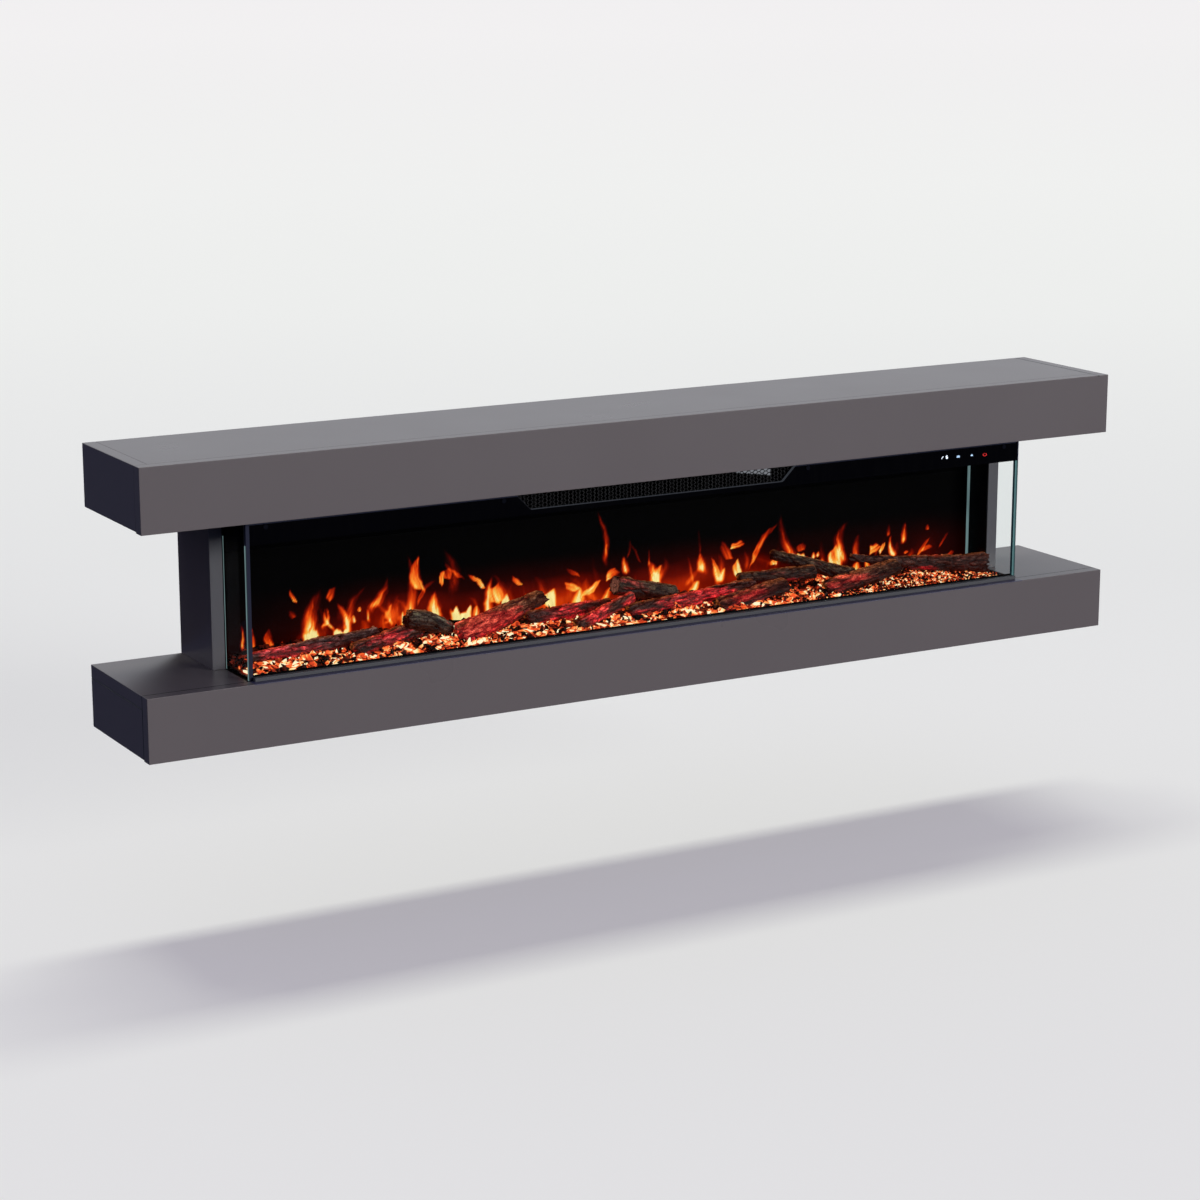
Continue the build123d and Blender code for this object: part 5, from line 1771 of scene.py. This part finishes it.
@dataclass
class LogPile:
    """Thirteen moulded logs on the ember bed."""

    bed: EmberBed
    columns: int = 84
    row_step: float = 1.7
    lumps: float = 0.10
    split_flat: float = 0.45
    bark_share: float = 0.75
    split_facing: float = math.radians(52.0)
    dome: float = 0.45
    deep: Colour = (0.0040, 0.0034, 0.0036)
    moss_colour: Colour = (0.24, 0.255, 0.17)
    # Painted light of the flames on the logs' upper back: its colour and strength.
    painted_flame_light: Colour = (0.50, 0.12, 0.02)
    painted_flame_share: float = 1.0
    # Painted light of the embers that all bark takes.
    painted_ember_light: Colour = (0.036, 0.0026, 0.0010)
    bark_tint: Colour = (1.0, 0.92, 0.78)
    crimson: Colour = (0.60, 0.007, 0.016)
    salmon: Colour = (0.95, 0.12, 0.065)
    end_shares: tuple[float, ...] = (0.04, 0.2, 0.4, 0.6, 0.78, 0.92)
    swell_size: Triple = (24.0, 24.0, 52.0)
    groove_size: Triple = (8.0, 8.0, 46.0)
    crack_size: Triple = (10.0, 10.0, 30.0)
    fine_size: Triple = (2.8, 2.8, 9.0)
    torn_size: Triple = (4.0, 4.0, 400.0)
    split_size: Triple = (3.0, 3.0, 60.0)
    speck_size: Triple = (3.6, 3.6, 5.0)
    patch_size: Triple = (13.0, 13.0, 24.0)
    wash_size: Triple = (10.0, 10.0, 40.0)
    swell: float = 0.34
    groove_depth: float = 4.0
    crack_depth: float = 1.8
    fine_depth: float = 3.2
    split_depth: float = 1.6
    ring_step: float = 3.0
    wood: Colour = (0.42, 0.16, 0.10)
    wood_glow: float = 0.35
    seen_from: Triple = (0.0, -0.7, 0.7)
    # Direction that the painted flame light comes from.
    flames_from: Triple = (0.0, 0.5, 0.866)
    clear: float = 0.3
    first_seed: int = 40
    logs: tuple[Log, ...] = (
        Log("log_far_left",
            ((-0.971, 0.369, 10.8, 8.0), (-0.81, 0.463, 11.3, 12.0), (-0.659, 0.615, 13.4, 12.5)),
            (0.150, 0.125, 0.143), 0.05, 0.95, 0.2, 0.34, 3.0),
        Log("log_left_front", ((-0.740, 0.120, 11.4, 12.0), (-0.562, 0.544, 14.6, 15.0)),
            (0.085, 0.062, 0.066), 0.05, 0.9, 0.55, 0.45, 3.0),
        Log("log_left_stub",
            ((-0.590, 0.404, 39.0, 15.0), (-0.550, 0.400, 31.0, 17.0), (-0.492, 0.390, 15.0, 10.0)),
            (0.13, 0.125, 0.105), 0.95, 0.3, 1.0, 0.25, 6.0),
        Log("log_split_red",
            ((-0.474, 0.171, 8.7, 20.0), (-0.37, 0.41, 20.0, 19.5), (-0.231, 0.740, 37.0, 12.0)),
            (0.13, 0.085, 0.055), 0.3, 1.0, 0.18, 0.42, 6.0, True),
        Log("log_middle_left", ((-0.291, 0.450, 11.8, 12.0), (-0.078, 0.505, 13.7, 14.0)),
            (0.060, 0.042, 0.046), 0.0, 0.95, 0.5, 0.5, 4.0),
        Log("log_upright_billet", ((-0.196, 0.029, 6.9, 11.0), (-0.040, 0.232, 34.9, 10.0)),
            (0.150, 0.075, 0.062), 0.0, 0.75, 0.6, 0.7, 3.0),
        Log("log_long_red", ((-0.043, 0.231, 10.7, 12.0), (0.312, 0.523, 13.7, 14.5)),
            (0.070, 0.045, 0.046), 0.0, 0.8, 0.5, 0.4, 8.0),
        Log("log_cut_end", ((-0.065, 0.427, 50.9, 15.5), (0.097, 0.505, 22.7, 13.5)),
            (0.105, 0.082, 0.062), 0.5, 0.15, 0.2, 0.3, 1.2, False, True),
        Log("log_split_dark", ((0.188, 0.007, 6.5, 16.0), (0.379, 0.232, 20.4, 15.0)),
            (0.045, 0.034, 0.033), 0.05, 0.35, 0.35, 0.4, 6.0, True),
        Log("log_cross_lower", ((0.299, 0.729, 24.1, 11.0), (0.487, 0.505, 27.7, 12.0)),
            (0.085, 0.052, 0.042), 0.3, 0.14, 0.5, 0.3, 4.0),
        Log("log_cross_upper", ((0.401, 0.809, 57.8, 8.0), (0.592, 0.449, 12.9, 13.5)),
            (0.080, 0.062, 0.042), 0.45, 0.1, 0.8, 0.3, 3.0),
        Log("log_right_split", ((0.495, 0.127, 7.8, 16.0), (0.710, 0.330, 24.0, 15.0)),
            (0.065, 0.042, 0.035), 0.2, 0.26, 0.2, 0.35, 6.0, True),
        Log("log_far_right",
            ((0.601, 0.537, 43.6, 6.0), (0.807, 0.486, 17.8, 13.5), (0.955, 0.180, 16.0, 17.0)),
            (0.085, 0.048, 0.042), 0.0, 0.4, 0.6, 0.16, 11.0),
    )

    def middle(self, station: tuple[float, float, float, float]) -> np.ndarray:
        """Middle of a log at a station.

        Args:
            station: Along, as a share of the bed's half length; across, between the places where the log's
                skin meets the bed's edges; rise over the bed; and radius.

        Returns:
            The place in the object's frame.
        """
        along, across, rise, radius = station
        low, high = self.bed.low, self.bed.high
        reach = radius * (1.0 + self.lumps)
        y = low[1] + reach + across * (high[1] - low[1] - 2.0 * reach)
        return np.array((along * high[0], y, float(self.bed.height(np.array(y))) + rise))

    def shell(self, log: Log, seed: int) -> Shell:
        """Surface of one log.

        Rings of a tube follow the polynomial through the log's stations. Each ring's radius is swelled by
        broad noise, cut by grooves that are noise drawn out along the log, and cracked along the borders
        of scattered cells. Rings that shrink to a point close the ends, pushed in and out by noise. A split
        log is cut flat towards the front and the top. Bark and glow paints come from the same noises. The
        bark carries painted shade, lighter on top and darker underneath, and the glow paint carries painted
        light from the flames on the upper back and from the embers over all the bark. The whole numbers
        added to a noise's places keep the noises apart.

        Args:
            log: The log.
            seed: Seed of its noise.

        Returns:
            The closed shell with its paints.
        """
        noise = Noise(seed)
        spots = np.array([self.middle(station) for station in log.stations])
        radii = np.array([station[3] for station in log.stations])
        heading = spots[-1] - spots[0]
        length = float(np.linalg.norm(heading))
        heading = heading / length
        level = np.cross(heading, (0.0, 0.0, 1.0))
        level = level / np.linalg.norm(level)
        up = np.cross(level, heading)
        knots = (spots - spots[0]) @ heading / length

        body = int(length / self.row_step)
        inward = np.array(self.end_shares)
        share = np.concatenate([np.zeros(len(inward)), np.linspace(0.0, 1.0, body), np.ones(len(inward))])
        fill = np.concatenate([inward, np.ones(body), inward[::-1]])
        turn = np.linspace(0.0, 2.0 * math.pi, self.columns, endpoint=False)
        cosine, sine = np.cos(turn)[None, :], np.sin(turn)[None, :]
        curves = [np.polyfit(knots, spots[:, axis], len(spots) - 1) for axis in range(3)]
        spine = np.stack([np.polyval(curve, share) for curve in curves], -1)
        radius = np.interp(share, knots, radii)

        run = np.broadcast_to((share * length)[:, None], (len(share), self.columns))
        wide = radius[:, None] * fill[:, None]
        own = np.stack([cosine * wide, sine * wide, run], -1)
        broad = noise.layered(own / self.swell_size, 2)
        drawn = noise.layered(own / self.groove_size + 7.0, 3)
        ridge = 1.0 - np.abs(2.0 * drawn - 1.0)
        crack = smooth_step(0.16, 0.03, noise.borders(own / self.crack_size))
        fine = noise.layered(own / self.fine_size + 31.0, 3)
        relief = self.groove_depth * (ridge - 0.7) - self.crack_depth * crack
        relief = relief + self.fine_depth * (fine - 0.5)
        skin = 1.0 + self.swell * (broad - 0.5) + relief / radius[:, None]
        outer = radius[:, None] * skin * fill[:, None]

        torn = noise.layered(own / self.torn_size + 53.0, 2) - 0.5
        outward = np.where(share > 0.5, 1.0, -1.0)[:, None]
        near_end = smooth_step(0.1, 0.0, np.minimum(share, 1.0 - share))[:, None]
        push = outward * near_end * (2.0 * log.ragged * torn - 0.35 * log.ragged * (1.0 - fill[:, None]))
        if not log.ringed:
            push = push + outward * self.dome * radius[:, None] * np.sqrt(1.0 - fill[:, None] ** 2)
        across, rise = cosine * outer, sine * outer
        flat = np.zeros_like(rise)
        if log.split:
            rough = noise.layered(own / self.split_size + 71.0, 2) - 0.5
            limit = radius[:, None] * self.split_flat + self.split_depth * rough
            deep = across * math.cos(self.split_facing) + rise * math.sin(self.split_facing) - limit
            flat = smooth_step(-0.5, 1.5, deep)
            across = across - np.maximum(deep, 0.0) * math.cos(self.split_facing)
            rise = rise - np.maximum(deep, 0.0) * math.sin(self.split_facing)
        rings = (
            spine[:, None, :] + across[..., None] * level + rise[..., None] * up + push[..., None] * heading
        )
        front, back = self.bed.low[1] + self.clear, self.bed.high[1] - self.clear
        rings[..., 1] = np.clip(rings[..., 1], front, back)

        outwards = cosine[..., None] * level + sine[..., None] * up
        seen = np.clip(0.55 + 0.6 * (outwards @ np.array(self.seen_from)), 0.0, 1.0)
        upper = smooth_step(-0.45, 0.75, outwards[..., 2])
        groove = np.clip(smooth_step(0.72, 0.48, ridge) + 0.8 * crack, 0.0, 1.0)
        bark = blend(log.bark, self.deep, np.clip(groove, 0.0, 1.0))
        speck = smooth_step(0.56, 0.74, noise.smooth(own / self.speck_size + 17.0))
        patch = smooth_step(0.42, 0.62, noise.layered(own / self.patch_size + 91.0, 2))
        patch = 0.35 * patch + 0.65 * speck
        bark = blend(bark, self.moss_colour, log.moss * patch * upper * (1.0 - groove))
        # Painted shade: bark lighter on the top of each log and darker underneath.
        shade = self.bark_share * (0.15 + 0.95 * upper) * (0.05 + 3.2 * fine**3.0)
        bark = bark * shade[..., None] * np.array(self.bark_tint)
        window = np.exp(-(((share - log.glow_at) / log.glow_spread) ** 2))[:, None]
        wash = noise.layered(own / self.wash_size + 113.0, 3)
        warm = log.glow * window
        glow = smooth_step(0.58, 0.88, wash + 0.4 * warm) * smooth_step(0.0, 0.2, warm) * seen
        bare = 1.0 - 0.85 * groove * (1.0 - 0.45 * flat)
        glow = np.clip(glow + 0.5 * flat * warm * (0.4 + wash), 0.0, 1.0) * bare
        hot = np.clip(1.6 * (fine - 0.62) + 0.45 * flat * wash, 0.0, 1.0)
        fleck = (0.08 + 4.0 * fine**2.6) * (1.0 - flat) + flat * (0.12 + 1.9 * fine**2)
        light = blend(self.crimson, self.salmon, hot) * (glow * fleck)[..., None]
        # Painted light of the flames on the faces that look up and back towards them.
        rim = smooth_step(0.35, 0.95, outwards @ np.array(self.flames_from)) * (1.0 - groove)
        light = light + self.painted_flame_share * (rim * fine**2)[..., None] * np.array(self.painted_flame_light)
        # Painted light of the embers on all the bark, stronger on the logs that glow more.
        lit = (0.4 + 0.6 * log.glow) * (0.3 + 1.4 * fine) * (1.0 - 0.6 * groove)
        light = light + lit[..., None] * np.array(self.painted_ember_light)
        if log.ringed:
            rings_dark = 0.5 + 0.5 * np.sin(2.0 * math.pi * fill * radius / self.ring_step)[:, None]
            at_end = ((share == 0.0) & (fill < 1.0))[:, None]
            wood = blend(self.deep, self.wood, np.clip(rings_dark + 0.8 * (fine - 0.5), 0.0, 1.0))
            bark = np.where(at_end[..., None], wood, bark)
            light = np.where(at_end[..., None], wood * self.wood_glow, light)
        shell = capped_rings(rings)
        shell.paints["bark"] = with_poles(bark)
        shell.paints["glow"] = with_poles(light)
        return shell

    def build(self) -> None:
        """Make every log in place of its CAD node."""
        resin = LogResin().build()
        for number, log in enumerate(self.logs):
            shell = self.shell(log, self.first_seed + number)
            make_piece(log.node + "_bark", shell, resin, (log.node,))


@dataclass
class Studio:
    """Pale floor, soft light and the camera."""

    floor_level: float = -0.58
    floor_reach: float = 400.0
    floor_albedo: Colour = (0.655, 0.665, 0.64)
    floor_bounce: Colour = (0.030, 0.045, 0.090)
    near_glow: Colour = (1.0, 0.925, 0.91)
    far_glow: Colour = (1.015, 0.992, 0.895)
    far_from: float = 0.25
    floor_tones: tuple[Span, ...] = (
        (-1.0, 0.734), (1.0, 0.758), (2.3, 0.748), (7.1, 0.815), (12.6, 0.838), (34.0, 0.874),
    )
    even_share: float = 0.27
    strip_share: float = 0.315
    pale: Colour = (0.76, 0.79, 0.84)
    ambient: Colour = (0.25, 0.245, 0.37)
    strip_place: Triple = (4.33, 5.10, 19.42)
    strip_size: Span = (19.0, 3.4)
    strip_length_share: float = 0.74
    strip_fall: float = -1.9
    strip_power: float = 2420.0
    strip_colour: Colour = (0.97, 1.0, 0.88)
    front_colour: Colour = (1.0, 0.99, 0.96)
    front_power: float = 3.25
    front_softness: float = math.radians(28.0)
    front_azimuth: float = math.radians(32.0)
    front_elevation: float = math.radians(9.0)
    flag_depth: float = 0.012
    flag_weave: float = 0.002
    flag_cloth: tuple[Colour, Colour] = ((0.010, 0.010, 0.014), (0.016, 0.016, 0.022))
    flag_outline: tuple[Span, ...] = (
        (-0.768, -0.128), (-0.90, -0.062), (-0.90, 0.12), (-0.70, 0.12), (-0.70, -0.128),
    )
    camera_place: Triple = (-2.4933, -4.4222, 1.0589)
    camera_yaw: float = math.radians(29.53)
    camera_pitch: float = math.radians(13.17)
    lens: float = 88.86
    clip_end: float = 1000.0

    def link(self, thing: bpy.types.ID, name: str) -> bpy.types.Object:
        """Put a mesh, lamp or camera into the scene.

        Args:
            thing: Its data.
            name: The object's name.

        Returns:
            The object.
        """
        made = bpy.data.objects.new(name, thing)
        bpy.context.scene.collection.objects.link(made)
        return made

    def build_floor(self) -> None:
        """Flat floor that looks evenly pale apart from the object's shadow.

        What rays from the camera see is the wanted tone: a part lit by the lamps, which holds the shadow,
        and a glow that makes up the rest. The strip's light falls off by a power of one plus
        (y^2 + k x^2) / h^2, k standing for the strip's length. Other rays see a dark blue floor, so that it
        sends little light back. From below the floor is clear, so that the underside can be looked at.
        """
        reach, level = self.floor_reach, self.floor_level
        corners = [(x * reach, y * reach, level) for x, y in ((-1, -1), (1, -1), (1, 1), (-1, 1))]
        mesh = bpy.data.meshes.new("studio_floor")
        mesh.from_pydata(corners, [], [(0, 1, 2, 3)])
        shader = Shader("studio_floor")
        heading = (math.sin(self.camera_yaw), math.cos(self.camera_yaw), 0.0)
        away = shader.node("ShaderNodeVectorMath", {0: shader.place, 1: heading}, operation="DOT_PRODUCT")
        first, last = self.floor_tones[0][0], self.floor_tones[-1][0]
        share = shader.spread(away.outputs["Value"], first, last, 0.0, 1.0)
        stops = [((far - first) / (last - first), (tone, tone, tone)) for far, tone in self.floor_tones]
        tone = shader.ramp(share, stops)

        place = shader.node("ShaderNodeSeparateXYZ", {0: shader.place}).outputs
        square = 1.0
        for axis, part in (("X", self.strip_length_share), ("Y", 1.0)):
            over = shader.maths("SUBTRACT", place[axis], self.strip_place["XY".index(axis)])
            over = shader.maths("DIVIDE", over, (self.strip_place[2] - level) / math.sqrt(part))
            square = shader.maths("ADD", shader.maths("MULTIPLY", over, over), square)
        falling = shader.maths("POWER", square, self.strip_fall)
        lit = shader.maths("ADD", shader.maths("MULTIPLY", falling, self.strip_share), self.even_share)
        path = shader.node("ShaderNodeLightPath").outputs
        seen = shader.maths("MAXIMUM", path["Is Camera Ray"], path["Is Transmission Ray"])
        glow = shader.maths("MULTIPLY", shader.maths("SUBTRACT", tone, lit), seen)
        upper = shader.principled({
            "Base Color": shader.mixed(seen, self.floor_bounce, self.floor_albedo),
            "Roughness": 1.0,
            "IOR": 1.0,
            "Emission Color": shader.ramp(share, ((0.0, self.near_glow), (self.far_from, self.far_glow))),
            "Emission Strength": glow,
        })
        below = shader.node("ShaderNodeNewGeometry").outputs["Backfacing"]
        clear = shader.node("ShaderNodeBsdfTransparent", {"Color": (1.0, 1.0, 1.0)})
        sides = {0: below, 1: upper.outputs[0], 2: clear.outputs[0]}
        mesh.materials.append(shader.done(shader.node("ShaderNodeMixShader", sides)))
        self.link(mesh, "studio_floor")

    def build_flag(self) -> None:
        """Black flag close behind the left column, seen only in the reflection on the plinth's top."""
        mesh = bpy.data.meshes.new("studio_flag")
        corners = [(x, self.flag_depth, z) for x, z in self.flag_outline]
        mesh.from_pydata(corners, [], [tuple(range(len(corners)))])
        shader = Shader("studio_flag")
        cloth = shader.noise(self.flag_weave, 2.0)
        mesh.materials.append(shader.done(shader.principled({
            "Base Color": shader.two_tone(cloth, *self.flag_cloth),
            "Roughness": 1.0,
            "IOR": 1.0,
        })))
        flag = self.link(mesh, "studio_flag")
        flag.visible_camera = False
        flag.visible_diffuse = False
        flag.visible_transmission = False
        flag.visible_shadow = False

    def build_world(self) -> None:
        """Dim lavender surroundings, pale for rays from the camera or sent on by a mirror or glass."""
        world = bpy.data.worlds.new("studio")
        bpy.context.scene.world = world
        world.use_nodes = True
        tree = world.node_tree
        tree.nodes.clear()
        path = tree.nodes.new("ShaderNodeLightPath").outputs
        seen = path["Is Camera Ray"]
        for name in ("Is Glossy Ray", "Is Transmission Ray"):
            both = tree.nodes.new("ShaderNodeMath")
            both.operation = "MAXIMUM"
            tree.links.new(seen, both.inputs[0])
            tree.links.new(path[name], both.inputs[1])
            seen = both.outputs[0]
        mix = tree.nodes.new("ShaderNodeMixShader")
        tree.links.new(seen, mix.inputs[0])
        for place, colour in ((1, self.ambient), (2, self.pale)):
            background = tree.nodes.new("ShaderNodeBackground")
            background.inputs["Color"].default_value = (*colour, 1.0)
            tree.links.new(background.outputs[0], mix.inputs[place])
        tree.links.new(mix.outputs[0], tree.nodes.new("ShaderNodeOutputWorld").inputs["Surface"])

    def build_lamps(self) -> None:
        """Long strip overhead, whose shadow the floor shows, and a broad soft light from the right."""
        strip = bpy.data.lights.new("strip", "AREA")
        strip.shape = "RECTANGLE"
        strip.size, strip.size_y = self.strip_size
        strip.energy = self.strip_power
        strip.color = self.strip_colour
        self.link(strip, "strip").location = self.strip_place
        front = bpy.data.lights.new("front", "SUN")
        front.energy = self.front_power
        front.angle = self.front_softness
        front.color = self.front_colour
        lamp = self.link(front, "front")
        lamp.rotation_euler = (math.pi / 2.0 - self.front_elevation, 0.0, self.front_azimuth)

    def build_camera(self) -> None:
        """Camera at the photograph's angle."""
        lens = bpy.data.cameras.new("camera")
        lens.lens = self.lens
        lens.clip_end = self.clip_end
        camera = self.link(lens, "camera")
        camera.location = self.camera_place
        camera.rotation_euler = (math.pi / 2.0 - self.camera_pitch, 0.0, -self.camera_yaw)
        bpy.context.scene.camera = camera

    def build(self) -> None:
        """Set up the whole studio."""
        bpy.context.scene.view_settings.view_transform = "Standard"
        self.build_camera()
        self.build_floor()
        self.build_flag()
        self.build_world()
        self.build_lamps()


def main() -> None:
    """Build and dress every sub-assembly in order."""
    logging.basicConfig(level=logging.INFO, format="%(name)s: %(message)s")
    Studio().build()
    Beams().dress()
    Casing().dress()
    warm_air = WarmAir()
    warm_air.build()
    warm_air.dress()
    PowerEntry().dress()
    glass = GlassFront()
    glass.build()
    glass.dress()
    screen = FlameScreen()
    screen.build()
    screen.dress()
    bed = EmberBed()
    bed.build()
    LogPile(bed).build()


if __name__ == "__main__":
    main()
